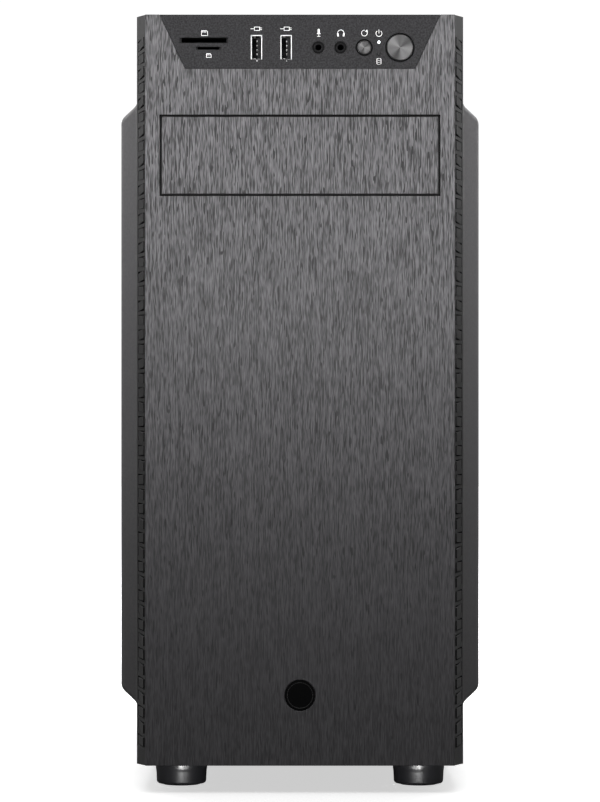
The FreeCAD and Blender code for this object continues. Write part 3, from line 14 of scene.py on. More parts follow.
import bmesh
import bpy
from mathutils import Matrix, Vector
from mathutils.bvhtree import BVHTree
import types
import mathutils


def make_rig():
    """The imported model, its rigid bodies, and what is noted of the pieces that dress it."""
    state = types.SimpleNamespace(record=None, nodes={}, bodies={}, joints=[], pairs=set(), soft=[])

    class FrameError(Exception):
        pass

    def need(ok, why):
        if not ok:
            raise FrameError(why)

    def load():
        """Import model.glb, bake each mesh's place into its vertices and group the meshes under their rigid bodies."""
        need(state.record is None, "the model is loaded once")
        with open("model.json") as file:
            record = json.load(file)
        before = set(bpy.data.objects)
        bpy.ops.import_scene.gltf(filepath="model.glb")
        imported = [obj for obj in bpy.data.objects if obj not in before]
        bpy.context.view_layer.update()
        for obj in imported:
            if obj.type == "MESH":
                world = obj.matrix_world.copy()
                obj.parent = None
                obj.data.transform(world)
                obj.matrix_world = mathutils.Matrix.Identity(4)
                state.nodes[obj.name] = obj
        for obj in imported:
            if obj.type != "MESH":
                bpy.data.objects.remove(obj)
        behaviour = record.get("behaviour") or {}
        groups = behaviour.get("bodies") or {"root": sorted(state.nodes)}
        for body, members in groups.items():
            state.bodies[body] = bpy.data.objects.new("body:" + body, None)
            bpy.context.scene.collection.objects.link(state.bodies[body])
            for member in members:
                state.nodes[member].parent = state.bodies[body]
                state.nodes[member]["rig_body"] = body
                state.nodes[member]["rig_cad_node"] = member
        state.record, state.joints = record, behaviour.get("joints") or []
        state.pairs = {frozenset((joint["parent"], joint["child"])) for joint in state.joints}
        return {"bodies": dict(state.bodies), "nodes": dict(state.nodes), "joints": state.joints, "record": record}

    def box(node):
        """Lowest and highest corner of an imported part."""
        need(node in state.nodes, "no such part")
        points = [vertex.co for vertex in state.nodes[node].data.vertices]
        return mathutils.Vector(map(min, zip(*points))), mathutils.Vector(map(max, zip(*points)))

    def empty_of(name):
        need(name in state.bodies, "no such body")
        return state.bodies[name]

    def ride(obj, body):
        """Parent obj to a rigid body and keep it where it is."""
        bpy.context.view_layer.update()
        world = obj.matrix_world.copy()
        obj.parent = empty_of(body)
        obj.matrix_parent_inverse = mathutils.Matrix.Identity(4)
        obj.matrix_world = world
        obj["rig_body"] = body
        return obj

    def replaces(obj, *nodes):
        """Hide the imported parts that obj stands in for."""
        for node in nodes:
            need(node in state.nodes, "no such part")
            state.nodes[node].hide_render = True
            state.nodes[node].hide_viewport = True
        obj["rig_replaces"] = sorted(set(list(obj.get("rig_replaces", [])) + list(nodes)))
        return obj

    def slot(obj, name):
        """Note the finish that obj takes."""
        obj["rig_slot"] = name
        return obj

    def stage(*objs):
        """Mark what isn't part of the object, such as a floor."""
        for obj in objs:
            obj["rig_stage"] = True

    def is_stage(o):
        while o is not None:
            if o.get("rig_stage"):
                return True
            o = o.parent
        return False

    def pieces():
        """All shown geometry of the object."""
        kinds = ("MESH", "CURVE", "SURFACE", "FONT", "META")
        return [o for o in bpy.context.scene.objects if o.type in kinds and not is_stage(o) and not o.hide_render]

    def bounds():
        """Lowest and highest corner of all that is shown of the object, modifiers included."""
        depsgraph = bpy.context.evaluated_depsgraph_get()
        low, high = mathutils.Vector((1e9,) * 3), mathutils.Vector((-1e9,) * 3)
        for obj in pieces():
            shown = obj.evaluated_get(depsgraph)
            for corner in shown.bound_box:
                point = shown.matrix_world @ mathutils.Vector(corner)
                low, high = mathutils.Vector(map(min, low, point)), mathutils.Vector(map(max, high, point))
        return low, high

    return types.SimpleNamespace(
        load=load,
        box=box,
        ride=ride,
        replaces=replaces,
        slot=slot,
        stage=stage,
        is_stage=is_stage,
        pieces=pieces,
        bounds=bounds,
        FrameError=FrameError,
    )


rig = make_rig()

MM = 0.001
LOG = logging.getLogger("tower")
Colour = tuple[float, float, float]
Pair = tuple[float, float]


class Facing(Enum):
    """The directions that a turned or stood piece can face."""

    RIGHT = (1, 0, 0)
    LEFT = (-1, 0, 0)
    REAR = (0, 1, 0)
    FRONT = (0, -1, 0)
    UP = (0, 0, 1)
    DOWN = (0, 0, -1)

    def turn(self) -> Matrix:
        """The turn that takes the local upward axis to this direction."""
        return Vector((0, 0, 1)).rotation_difference(Vector(self.value)).to_matrix().to_4x4()


# ------------------------------------------------------------------ materials


class Shader:
    """A material's nodes while they are wired, around one principled surface."""

    def __init__(self, name: str) -> None:
        """Starts an empty material.

        Args:
            name: The material's name.
        """
        self.material = bpy.data.materials.new(name)
        self.material.use_nodes = True
        self.nodes = self.material.node_tree.nodes
        self.links = self.material.node_tree.links
        self.surface = self.nodes["Principled BSDF"]
        self.place = self.add("ShaderNodeTexCoord").outputs["Object"]

    def add(self, kind: str, inputs: dict | None = None, **settings: object) -> bpy.types.Node:
        """Adds a node.

        Args:
            kind: Blender's name for the node's type.
            inputs: Values or sockets for the node's inputs, by name or number.
            settings: The node's own settings.

        Returns:
            The new node.
        """
        node = self.nodes.new(kind)
        for key, value in settings.items():
            setattr(node, key, value)
        for key, value in (inputs or {}).items():
            self.feed(node.inputs[key], value)
        return node

    def feed(self, socket: bpy.types.NodeSocket, value: object) -> None:
        """Links a socket, or sets a plain value on it.

        Args:
            socket: The node's input.
            value: A socket to link, or a plain value.
        """
        if isinstance(value, bpy.types.NodeSocket):
            self.links.new(value, socket)
        else:
            socket.default_value = value

    def mapped(self, scale: Sequence[float], shift: Sequence[float] = (0, 0, 0)) -> bpy.types.NodeSocket:
        """The object's own coordinates, moved by shift and then scaled on each axis."""
        moved = self.add("ShaderNodeVectorMath", {0: self.place, 1: tuple(shift)}, operation="SUBTRACT")
        return self.add("ShaderNodeMapping", {"Vector": moved.outputs[0], "Scale": tuple(scale)}).outputs[0]

    def noise(
        self, scale: Sequence[float], detail: float = 3.0, rough: float = 0.55
    ) -> bpy.types.NodeSocket:
        """Cloudy noise from 0 to 1.

        Args:
            scale: Lumps per metre along each axis.
            detail: Octaves of finer noise.
            rough: How strong the finer octaves are.

        Returns:
            The noise's value.
        """
        inputs = {"Vector": self.mapped(scale), "Scale": 1.0, "Detail": detail, "Roughness": rough}
        return self.add("ShaderNodeTexNoise", inputs).outputs["Fac"]

    def cells(
        self, scale: Sequence[float], output: str = "Distance", **settings: str
    ) -> bpy.types.NodeSocket:
        """Voronoi cells, so many per metre along each axis."""
        inputs = {"Vector": self.mapped(scale), "Scale": 1.0}
        return self.add("ShaderNodeTexVoronoi", inputs, **settings).outputs[output]

    def bands(self, scale: Sequence[float], axis: str) -> bpy.types.NodeSocket:
        """Parallel bands across an axis, from 0 to 1, so many per metre along it."""
        inputs = {"Vector": self.mapped(scale), "Scale": 0.5, "Detail": 1.0}
        return self.add("ShaderNodeTexWave", inputs, bands_direction=axis).outputs["Fac"]

    def span(
        self, value: object, low: float, high: float, start: float = 0.0, end: float = 1.0
    ) -> bpy.types.NodeSocket:
        """A value's range from low to high, stretched to run from start to end."""
        inputs = {"Value": value, "From Min": low, "From Max": high, "To Min": start, "To Max": end}
        return self.add("ShaderNodeMapRange", inputs).outputs[0]

    def sum(self, first: object, second: object, operation: str = "ADD") -> bpy.types.NodeSocket:
        """Two values put together by a sum, a product or another operation."""
        return self.add("ShaderNodeMath", {0: first, 1: second}, operation=operation).outputs[0]

    def blend(self, share: object, first: object, second: object) -> bpy.types.NodeSocket:
        """A colour that goes from the first to the second as share rises.

        Args:
            share: How far to go towards the second colour.
            first: The colour at 0.
            second: The colour at 1.

        Returns:
            The mixed colour.
        """
        node = self.add("ShaderNodeMix", data_type="RGBA")
        for index, value in ((0, share), (6, first), (7, second)):
            if isinstance(value, tuple):
                value = (*value, 1.0)
            self.feed(node.inputs[index], value)
        return node.outputs[2]

    def relief(self, height: object, depth: float) -> None:
        """Raises the surface by up to depth where height is 1, on top of any relief it has.

        Args:
            height: What raises the surface, from 0 to 1.
            depth: How far it rises, in metres.
        """
        inputs = {"Height": height, "Distance": depth, "Strength": 1.0}
        normal = self.surface.inputs["Normal"]
        if normal.is_linked:
            inputs["Normal"] = normal.links[0].from_socket
        self.feed(normal, self.add("ShaderNodeBump", inputs).outputs[0])

    def set(self, **values: object) -> None:
        """Sets or links the surface's own inputs, named in words with underscores.

        Args:
            values: The inputs, by name.
        """
        for key, value in values.items():
            if isinstance(value, tuple):
                value = (*value, 1.0)
            self.feed(self.surface.inputs[key.replace("_", " ")], value)


def shade(colour: Colour, factor: float) -> Colour:
    """A colour made lighter or darker."""
    return tuple(min(1.0, c * factor) for c in colour)


@dataclass(frozen=True)
class Finish:
    """What a surface is made of and how it is finished."""

    name: str
    colour: Colour
    roughness: float = 0.5
    slot: str = ""

    def material(self) -> bpy.types.Material:
        """The finish as a material, wired the first time it is asked for.

        Returns:
            The material.
        """
        found = bpy.data.materials.get(self.name)
        if found is None:
            shader = Shader(self.name)
            shader.material.diffuse_color = (*self.colour, 1.0)
            self.paint(shader)
            found = shader.material
        return found

    def paint(self, shader: Shader) -> None:
        """Wires the finish. Each kind of finish has its own way."""
        raise NotImplementedError


@dataclass(frozen=True)
class BrushedFilm(Finish):
    """A satin film with upright brush strokes of uneven length, their contrast painted stronger towards the top as
    painted sheen.
    """

    contrast: float = 0.78
    gloss: float = 0.32

    def paint(self, shader: Shader) -> None:
        """Two layers of strokes drive colour, roughness and a shallow relief.

        Args:
            shader: The material's nodes, to be wired.
        """
        long = shader.noise((2000, 300, 55), 2.0, 0.6)
        short = shader.noise((2600, 300, 190), 1.0, 0.5)
        strokes = shader.sum(shader.sum(long, 0.5, "MULTIPLY"), shader.sum(short, 0.5, "MULTIPLY"))
        share = shader.span(strokes, 0.40, 0.60)
        # Painted sheen: depth below is no depth of the strokes; it makes strokes and nicks stand out more towards the
        # top, standing in for the light from above that catches them there.
        height = shader.add("ShaderNodeSeparateXYZ", {0: shader.place}).outputs["Z"]
        depth = shader.span(height, 0.08, 0.30, 0.35, 1.0)
        even = shader.sum(shader.sum(shader.sum(share, 0.5, "SUBTRACT"), depth, "MULTIPLY"), 0.5)
        dark, light = shade(self.colour, 1 - self.contrast), shade(self.colour, 1 + self.contrast)
        nicks = shader.sum(shader.span(shader.noise((1200, 300, 130), 0.0), 0.66, 0.70), depth, "MULTIPLY")
        brushed = shader.blend(even, dark, light)
        shader.set(
            Base_Color=shader.blend(nicks, brushed, shade(self.colour, 0.2)),
            Roughness=shader.span(strokes, 0.3, 0.7, self.roughness - 0.06, self.roughness + 0.08),
            Anisotropic=0.45,
            Specular_IOR_Level=self.gloss,
        )
        shader.relief(strokes, 0.012 * MM)


@dataclass(frozen=True)
class Moulding(Finish):
    """Moulded plastic with a spark-eroded grain."""

    grain: float = 2200.0
    depth: float = 0.010 * MM
    speckle: float = 0.10
    gloss: float = 0.35

    def paint(self, shader: Shader) -> None:
        """Fine grain in relief and colour, with slow drifts of gloss.

        Args:
            shader: The material's nodes, to be wired.
        """
        grain = shader.noise((self.grain,) * 3, 2.0)
        drift = shader.noise((18, 18, 18), 3.0)
        dark, light = shade(self.colour, 1 - self.speckle), shade(self.colour, 1 + self.speckle)
        shader.set(
            Base_Color=shader.blend(shader.span(grain, 0.35, 0.65), dark, light),
            Roughness=shader.span(drift, 0.3, 0.7, self.roughness - 0.04, self.roughness + 0.05),
            Specular_IOR_Level=self.gloss,
        )
        shader.relief(grain, self.depth)


@dataclass(frozen=True)
class Gloss(Finish):
    """Polished plastic with the faintest swirl of handling."""

    coat: float = 0.5

    def paint(self, shader: Shader) -> None:
        """A smooth body under a clear coat, dulled a little in patches.

        Args:
            shader: The material's nodes, to be wired.
        """
        smear = shader.noise((60, 60, 60), 4.0)
        dust = shader.noise((3500, 3500, 3500), 1.0)
        shader.set(
            Base_Color=shader.blend(shader.span(dust, 0.62, 0.8), self.colour, shade(self.colour, 1.6)),
            Roughness=shader.span(smear, 0.35, 0.7, self.roughness, self.roughness + 0.08),
            Coat_Weight=self.coat,
            Coat_Roughness=0.08,
        )


@dataclass(frozen=True)
class PowderCoat(Finish):
    """Baked powder over sheet steel: an orange-peel skin with fine texture."""

    def paint(self, shader: Shader) -> None:
        """Two sizes of peel, and a trace of colour variation.

        Args:
            shader: The material's nodes, to be wired.
        """
        peel = shader.noise((700, 700, 700), 2.0)
        grit = shader.cells((2600, 2600, 2600))
        dark, light = shade(self.colour, 0.9), shade(self.colour, 1.12)
        shader.set(
            Base_Color=shader.blend(shader.span(peel, 0.3, 0.7), dark, light),
            Roughness=shader.span(peel, 0.3, 0.7, self.roughness - 0.05, self.roughness + 0.06),
            Specular_IOR_Level=0.4,
        )
        shader.relief(peel, 0.03 * MM)
        shader.relief(grit, 0.006 * MM)


@dataclass(frozen=True)
class Metal(Finish):
    """Bare or plated metal, brushed along one axis, with faint blotches."""

    brush: tuple[float, float, float] = (200, 200, 3000)
    depth: float = 0.006 * MM
    blotch: float = 0.12

    def paint(self, shader: Shader) -> None:
        """Brush marks in relief, and slow blotches of roughness and colour.

        Args:
            shader: The material's nodes, to be wired.
        """
        marks = shader.noise(self.brush, 3.0)
        patches = shader.noise((90, 90, 90), 3.0)
        dark, light = shade(self.colour, 1 - self.blotch), shade(self.colour, 1 + self.blotch)
        shader.set(
            Base_Color=shader.blend(shader.span(patches, 0.3, 0.7), dark, light),
            Metallic=1.0,
            Roughness=shader.span(marks, 0.25, 0.75, self.roughness - 0.07, self.roughness + 0.10),
        )
        shader.relief(marks, self.depth)


@dataclass(frozen=True)
class SpunMetal(Finish):
    """A metal face turned on a lathe about an axis that runs front to rear."""

    centre: Pair = (0.0, 0.0)

    def paint(self, shader: Shader) -> None:
        """Fine rings round the axis, and a bow-tie sheen painted into the colour by angle round the axis.

        Args:
            shader: The material's nodes, to be wired.
        """
        shift = (self.centre[0], 0.0, self.centre[1])
        flat = shader.mapped((1, 0, 1), shift)
        radius = shader.add("ShaderNodeVectorMath", {0: flat}, operation="LENGTH").outputs["Value"]
        ring_place = shader.add("ShaderNodeCombineXYZ", {"X": radius}).outputs[0]
        rings = shader.add(
            "ShaderNodeTexNoise", {"Vector": ring_place, "Scale": 6500.0, "Detail": 2.0}
        ).outputs["Fac"]
        parts = shader.add("ShaderNodeSeparateXYZ", {0: flat}).outputs
        # Painted sheen: the colour turns lighter and darker by angle round the axis, standing in for the bow-tie
        # highlight that turned rings catch from the lamps.
        angle = shader.sum(parts["Z"], parts["X"], "ARCTAN2")
        wide = shader.sum(shader.sum(shader.sum(angle, 2.0, "MULTIPLY"), 1.1), 0.0, "COSINE")
        narrow = shader.sum(shader.sum(shader.sum(angle, 5.0, "MULTIPLY"), 0.4), 0.0, "COSINE")
        painted_sheen_lobes = shader.sum(wide, shader.sum(narrow, 0.5, "MULTIPLY"))
        sheen = shader.span(shader.sum(painted_sheen_lobes, shader.span(rings, 0.3, 0.7, -0.6, 0.6)), -1.6, 1.6)
        shader.set(
            Base_Color=shader.blend(sheen, shade(self.colour, 0.3), shade(self.colour, 1.9)),
            Metallic=0.5,
            Roughness=shader.span(rings, 0.3, 0.7, self.roughness - 0.06, self.roughness + 0.08),
            Specular_IOR_Level=0.3,
        )
        shader.relief(rings, 0.01 * MM)


@dataclass(frozen=True)
class CircuitBoard(Finish):
    """Solder-masked fibreglass with bundles of tracks and plated holes."""

    track: Colour = (0.035, 0.045, 0.05)
    pitch: float = 950.0

    def paint(self, shader: Shader) -> None:
        """Patches of parallel tracks that run one way or the other, and rows of holes.

        Args:
            shader: The material's nodes, to be wired.
        """
        patch = shader.cells((55, 55, 55), "Color", distance="MANHATTAN")
        pick = shader.add("ShaderNodeSeparateColor", {0: patch}).outputs
        along = shader.bands((self.pitch,) * 3, "Z")
        across = shader.bands((self.pitch,) * 3, "Y")
        upright = shader.span(pick["Red"], 0.49, 0.51)
        lines = shader.sum(
            shader.sum(along, upright, "MULTIPLY"),
            shader.sum(across, shader.sum(1.0, upright, "SUBTRACT"), "MULTIPLY"),
        )
        present = shader.span(pick["Green"], 0.35, 0.4)
        tracks = shader.sum(shader.span(lines, 0.55, 0.75), present, "MULTIPLY")
        spots = shader.span(shader.cells((240, 240, 240)), 0.10, 0.14, 1.0, 0.0)
        masked = shader.blend(tracks, self.colour, self.track)
        shader.set(
            Base_Color=shader.blend(spots, masked, (0.30, 0.24, 0.12)),
            Roughness=shader.span(tracks, 0, 1, self.roughness, self.roughness - 0.08),
            Specular_IOR_Level=0.5,
        )
        shader.relief(tracks, 0.03 * MM)


@dataclass(frozen=True)
class Braid(Finish):
    """A sleeve of crossed yarns."""

    pitch: float = 520.0

    def paint(self, shader: Shader) -> None:
        """Two sets of diagonal yarns that pass over and under each other.

        Args:
            shader: The material's nodes, to be wired.
        """
        place = shader.mapped((1, 1, 1))
        parts = shader.add("ShaderNodeSeparateXYZ", {0: place}).outputs
        flat = shader.sum(parts["X"], parts["Y"])
        yarns = []
        for way in ("ADD", "SUBTRACT"):
            across = shader.sum(shader.sum(flat, parts["Z"], way), self.pitch * math.tau, "MULTIPLY")
            yarns.append(shader.sum(across, 0, "SINE"))
        weave = shader.span(shader.sum(*yarns, "MULTIPLY"), -1, 1)
        shader.set(
            Base_Color=shader.blend(weave, shade(self.colour, 0.5), shade(self.colour, 2.2)),
            Roughness=self.roughness,
            Sheen_Weight=0.3,
        )
        shader.relief(weave, 0.2 * MM)


@dataclass(frozen=True)
class Lamp(Finish):
    """A clear light guide with a lit core."""

    power: float = 2.0

    def paint(self, shader: Shader) -> None:
        """A glow with a slight drift across the lens.

        Args:
            shader: The material's nodes, to be wired.
        """
        drift = shader.noise((400, 400, 400), 1.0)
        shader.set(
            Base_Color=self.colour,
            Roughness=self.roughness,
            Emission_Color=shader.blend(drift, shade(self.colour, 0.9), self.colour),
            Emission_Strength=self.power,
        )


@dataclass(frozen=True)
class Ink(Finish):
    """Screen-printed ink, slightly uneven where the screen was thin."""

    def paint(self, shader: Shader) -> None:
        """Patchy cover with a soft edge to the gloss.

        Args:
            shader: The material's nodes, to be wired.
        """
        cover = shader.noise((2500, 2500, 2500), 2.0)
        shader.set(
            Base_Color=shader.blend(shader.span(cover, 0.3, 0.5), shade(self.colour, 0.75), self.colour),
            Roughness=self.roughness,
        )
        shader.relief(cover, 0.004 * MM)


class Finishes:
    """Every finish that the tower uses, by the name of what it is on."""

    face = BrushedFilm("brushed_film", (0.078, 0.076, 0.080), 0.50, "brushed_face")
    bezel = Moulding("bezel_moulding", (0.014, 0.0136, 0.014), 0.48, "bezel_plastic", gloss=0.26)
    slat = Moulding("slat_moulding", (0.013, 0.0127, 0.013), 0.44, "bezel_plastic", gloss=0.22)
    panel = Moulding(
        "port_panel_grain", (0.015, 0.0145, 0.016), 0.6, "port_panel", 1100.0, 0.03 * MM, 0.6, 0.2
    )
    black = Moulding("black_moulding", (0.006, 0.006, 0.0065), 0.5, "black_plastic", gloss=0.15)
    pit = Moulding(
        "pit_moulding", (0.0025, 0.0025, 0.0028), 0.6, "black_gloss", 1500.0, 0.01 * MM, 0.2, 0.08
    )
    gloss = Gloss("black_gloss", (0.006, 0.006, 0.007), 0.10, "black_gloss")
    satin = Gloss("satin_black", (0.008, 0.008, 0.009), 0.30, "black_gloss", 0.0)
    coat = PowderCoat("powder_coat", (0.115, 0.113, 0.116), 0.5, slot="coated_steel")
    plated = Metal("nickel_plate", (0.84, 0.83, 0.82), 0.45, "plated_steel", blotch=0.05)
    zinc = Metal("zinc_plate", (0.52, 0.52, 0.51), 0.34, "bare_steel", (3000, 3000, 250))
    alloy = Metal("satin_alloy", (0.60, 0.61, 0.62), 0.30, "alloy", (300, 300, 2600))
    brass = Metal("turned_brass", (0.66, 0.47, 0.19), 0.28, "brass_post", (3000, 300, 300))
    shell = Metal("shell_plate", (0.20, 0.20, 0.20), 0.25, "plated_steel")
    # Painted highlight: a flat bright ink on the front edge of each port shell, standing in for the light its rim
    # catches; also the small dot under each port.
    lip_highlight = Ink("painted_lip_highlight", (0.80, 0.80, 0.80), 0.3, "plated_steel")
    gold = Metal("gold_flash", (0.83, 0.62, 0.24), 0.22, "plated_steel", (2500, 300, 2500))
    board = CircuitBoard("solder_mask", (0.010, 0.012, 0.014), 0.36, "fibreglass")
    green = CircuitBoard("drive_mask", (0.010, 0.045, 0.022), 0.36, "fibreglass", (0.02, 0.09, 0.045))
    frame = Moulding("fan_moulding", (0.014, 0.014, 0.015), 0.45, "fan_black", 1200.0)
    blade = Moulding("fan_blade", (0.022, 0.022, 0.024), 0.38, "fan_blade", 900.0)
    rubber = Moulding("foot_rubber", (0.012, 0.012, 0.012), 0.85, "pad_rubber", 1600.0, 0.03 * MM, 0.3, 0.2)
    sleeve = Braid("braided_sleeve", (0.012, 0.012, 0.012), 0.7, "cable_sleeve")
    tray = Moulding("filter_moulding", (0.018, 0.018, 0.018), 0.5, "filter_plastic")
    lamp = Lamp("lit_guide", (0.92, 0.96, 1.0), 0.2, "lamp")
    dark_lamp = Gloss("unlit_guide", (0.015, 0.015, 0.016), 0.2, "lamp")
    ink = Ink("white_print", (0.86, 0.86, 0.86), 0.6, "port_panel")
    chip = Moulding("chip_resin", (0.016, 0.016, 0.017), 0.5, "fibreglass", 3000.0)
    ceramic = Moulding("chip_ceramic", (0.28, 0.22, 0.16), 0.5, "fibreglass", 2000.0)
    can = Metal("can_top", (0.70, 0.70, 0.70), 0.25, "alloy", (900, 900, 900))
    label = Ink("blank_label", (0.62, 0.62, 0.60), 0.5, "alloy")


# ------------------------------------------------------------------ shapes


class Form:
    """A mesh under construction, in the frame's metres, which becomes one named piece."""

    def __init__(self) -> None:
        """Starts with nothing."""
        self.bm = bmesh.new()

    @classmethod
    def of_node(cls, node: str) -> Form:
        """A merged copy of a CAD node, its flat faces whole again.

        Args:
            node: The CAD node.

        Returns:
            The form.
        """
        form = cls()
        form.bm.from_mesh(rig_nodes()[node].data)
        bmesh.ops.remove_doubles(form.bm, verts=form.bm.verts, dist=0.002 * MM)
        bmesh.ops.dissolve_limit(
            form.bm, angle_limit=math.radians(0.6), verts=form.bm.verts, edges=form.bm.edges
        )
        return form

    def soften(
        self,
        width: float,
        segments: int = 2,
        only: Callable[[bmesh.types.BMEdge], bool] | None = None,
        sharp: float = 35.0,
    ) -> Form:
        """Rounds the edges where faces meet at more than an angle.

        Args:
            width: The bevel's width.
            segments: Steps across each bevel.
            only: Picks the edges to round, out of the sharp ones.
            sharp: The angle, in degrees, above which an edge is sharp.

        Returns:
            The same form.
        """
        limit = math.radians(sharp)
        edges = [
            e for e in self.bm.edges
            if len(e.link_faces) == 2 and e.calc_face_angle(0.0) > limit and (only is None or only(e))
        ]
        if edges:
            skin = BVHTree.FromBMesh(self.bm)
            bmesh.ops.bevel(
                self.bm, geom=edges, offset=width, offset_type="OFFSET", segments=segments,
                profile=0.5, affect="EDGES", clamp_overlap=True, material=-1, loop_slide=False,
            )
            self.settle(skin, width)
        return self

    def settle(self, skin: BVHTree, width: float) -> None:
        """Brings any vertex that a bevel threw off the skin back on to it.

        Args:
            skin: The surface before the bevel.
            width: The bevel's width, past which a vertex is astray.
        """
        strays = 0
        for vert in self.bm.verts:
            place, _, _, gap = skin.find_nearest(vert.co)
            if gap > width:
                vert.co = place
                strays += 1
        if strays:
            LOG.info("%d stray vertices settled", strays)

    def join(self, other: Form) -> None:
        """Takes in all of another form.

        Args:
            other: The form to take in, which is emptied.
        """
        with self.apart() as bm:
            scrap = bpy.data.meshes.new("scrap")
            other.bm.to_mesh(scrap)
            other.bm.free()
            bm.from_mesh(scrap)
            bpy.data.meshes.remove(scrap)

    @contextmanager
    def apart(self, place: Matrix | None = None) -> Iterator[bmesh.types.BMesh]:
        """A mesh of its own for one shape, which is moved to its place and joined on at the end.

        Args:
            place: Where the shape is moved to at the end.

        Yields:
            The mesh to fill.
        """
        bm = bmesh.new()
        yield bm
        if place is not None:
            bmesh.ops.transform(bm, matrix=place, verts=bm.verts)
        bmesh.ops.recalc_face_normals(bm, faces=bm.faces)
        scrap = bpy.data.meshes.new("scrap")
        bm.to_mesh(scrap)
        bm.free()
        self.bm.from_mesh(scrap)
        bpy.data.meshes.remove(scrap)

    def block(
        self, low: Sequence[float], high: Sequence[float], edge: float = 0.0, turn: Matrix | None = None
    ) -> Form:
        """Adds a block between two corners.

        Args:
            low: Its lowest corner.
            high: Its highest corner.
            edge: The width of its rounded edges.
            turn: A turn about its own middle.

        Returns:
            The same form.
        """
        place = Matrix.Translation((Vector(low) + Vector(high)) / 2) @ (turn or Matrix())
        with self.apart(place) as bm:
            bmesh.ops.create_cube(bm, size=1.0)
            bmesh.ops.scale(bm, vec=Vector(high) - Vector(low), verts=bm.verts)
            if edge:
                bmesh.ops.bevel(
                    bm, geom=list(bm.edges), offset=edge, segments=2, profile=0.5, affect="EDGES",
                    clamp_overlap=True, material=-1,
                )
        return self

    def turned(
        self,
        profile: Sequence[Pair],
        at: Sequence[float],
        facing: Facing,
        steps: int = 48,
        span: Pair = (0.0, 360.0),
        squash: float = 1.0,
    ) -> Form:
        """Adds a shape turned from a profile.

        Args:
            profile: Pairs of radius and height along the axis, from one end to the other.
            at: Where height 0 of the axis stands.
            facing: The way the axis points.
            steps: Sides of the full or part turn.
            span: Where the sweep starts and ends, in degrees.
            squash: How far the shape is flattened across its axis.

        Returns:
            The same form.
        """
        start, end = (math.radians(a) for a in span)
        whole = span[1] - span[0] >= 360.0
        place = Matrix.Translation(Vector(at)) @ facing.turn() @ Matrix.Scale(squash, 4, (0, 1, 0))
        with self.apart(place @ Matrix.Rotation(start, 4, "Z")) as bm:
            chain = [bm.verts.new((radius, 0.0, height)) for radius, height in profile]
            edges = [bm.edges.new(pair) for pair in zip(chain, chain[1:])]
            geom = [*chain, *edges]
            if not whole:
                geom += [bm.edges.new((chain[-1], chain[0])), bm.faces.new(chain)]
            bmesh.ops.spin(
                bm, geom=geom, cent=(0, 0, 0), axis=(0, 0, 1), angle=end - start,
                steps=steps, use_merge=whole, use_duplicate=False,
            )
            bmesh.ops.remove_doubles(bm, verts=bm.verts, dist=0.0005 * MM)
            if not whole:
                self.cap(bm)
        return self

    def cap(self, bm: bmesh.types.BMesh) -> None:
        """Closes the open ends of a part turn.

        Args:
            bm: The mesh of the part turn.
        """
        rim = [e for e in bm.edges if len(e.link_faces) == 1]
        if rim:
            bmesh.ops.holes_fill(bm, edges=rim, sides=0)

    def rod(
        self,
        at: Sequence[float],
        facing: Facing,
        radius: float,
        length: float,
        edge: float = 0.0,
        steps: int = 32,
    ) -> Form:
        """Adds a round bar with chamfered ends.

        Args:
            at: The middle of its first end.
            facing: The way it runs from there.
            radius: Its radius.
            length: Its length.
            edge: The size of its chamfers.
            steps: Its sides.

        Returns:
            The same form.
        """
        rise = [(0, 0), (radius - edge, 0), (radius, edge)]
        fall = [(radius, length - edge), (radius - edge, length), (0, length)]
        return self.turned(rise + fall, at, facing, steps)

    def ring(self, at: Sequence[float], facing: Facing, outer: float, inner: float, length: float) -> Form:
        """Adds a plain ring."""
        profile = [(inner, 0), (outer, 0), (outer, length), (inner, length), (inner, 0)]
        return self.turned(profile, at, facing)

    def arc(
        self,
        at: Sequence[float],
        facing: Facing,
        outer: float,
        inner: float,
        length: float,
        span: Pair,
        squash: float = 1.0,
    ) -> Form:
        """Adds part of a ring, from one angle to another in degrees."""
        profile = [(inner, 0), (outer, 0), (outer, length), (inner, length)]
        return self.turned(profile, at, facing, 28, span, squash)

    def piece(
        self,
        name: str,
        finish: Finish,
        body: str,
        replaces: Iterable[str] = (),
        smooth: float = 50.0,
    ) -> bpy.types.Object:
        """Makes the form a finished piece.

        Args:
            name: The piece's name.
            finish: Its finish, which also names its material slot.
            body: The CAD body that it rides on.
            replaces: The CAD nodes that it stands for.
            smooth: The angle, in degrees, above which an edge is shaded sharp.

        Returns:
            The finished object.
        """
        mesh = bpy.data.meshes.new(name)
        self.bm.to_mesh(mesh)
        self.bm.free()
        mesh.polygons.foreach_set("use_smooth", [True] * len(mesh.polygons))
        mesh.set_sharp_from_angle(angle=math.radians(smooth))
        mesh.materials.append(finish.material())
        made = bpy.data.objects.new(name, mesh)
        bpy.context.scene.collection.objects.link(made)
        even = made.modifiers.new("even_shading", "WEIGHTED_NORMAL")
        even.keep_sharp = True
        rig.ride(made, body)
        if finish.slot:
            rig.slot(made, finish.slot)
        if replaces:
            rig.replaces(made, *replaces)
        LOG.info("%s: %d faces on %s", name, len(mesh.polygons), body)
        return made


_FRAME: dict = {}


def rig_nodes() -> dict[str, bpy.types.Object]:
    """The frame's CAD nodes by name."""
    return _FRAME["nodes"]


def body_of(node: str) -> str:
    """The name of the body that a CAD node rides on."""
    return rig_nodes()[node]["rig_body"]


def in_metres(profile: Sequence[Pair]) -> list[Pair]:
    """A profile that is given in millimetres, as metres."""
    return [(radius * MM, height * MM) for radius, height in profile]


def middle(node: str) -> Vector:
    """The middle of a CAD node's box."""
    low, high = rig.box(node)
    return (low + high) / 2


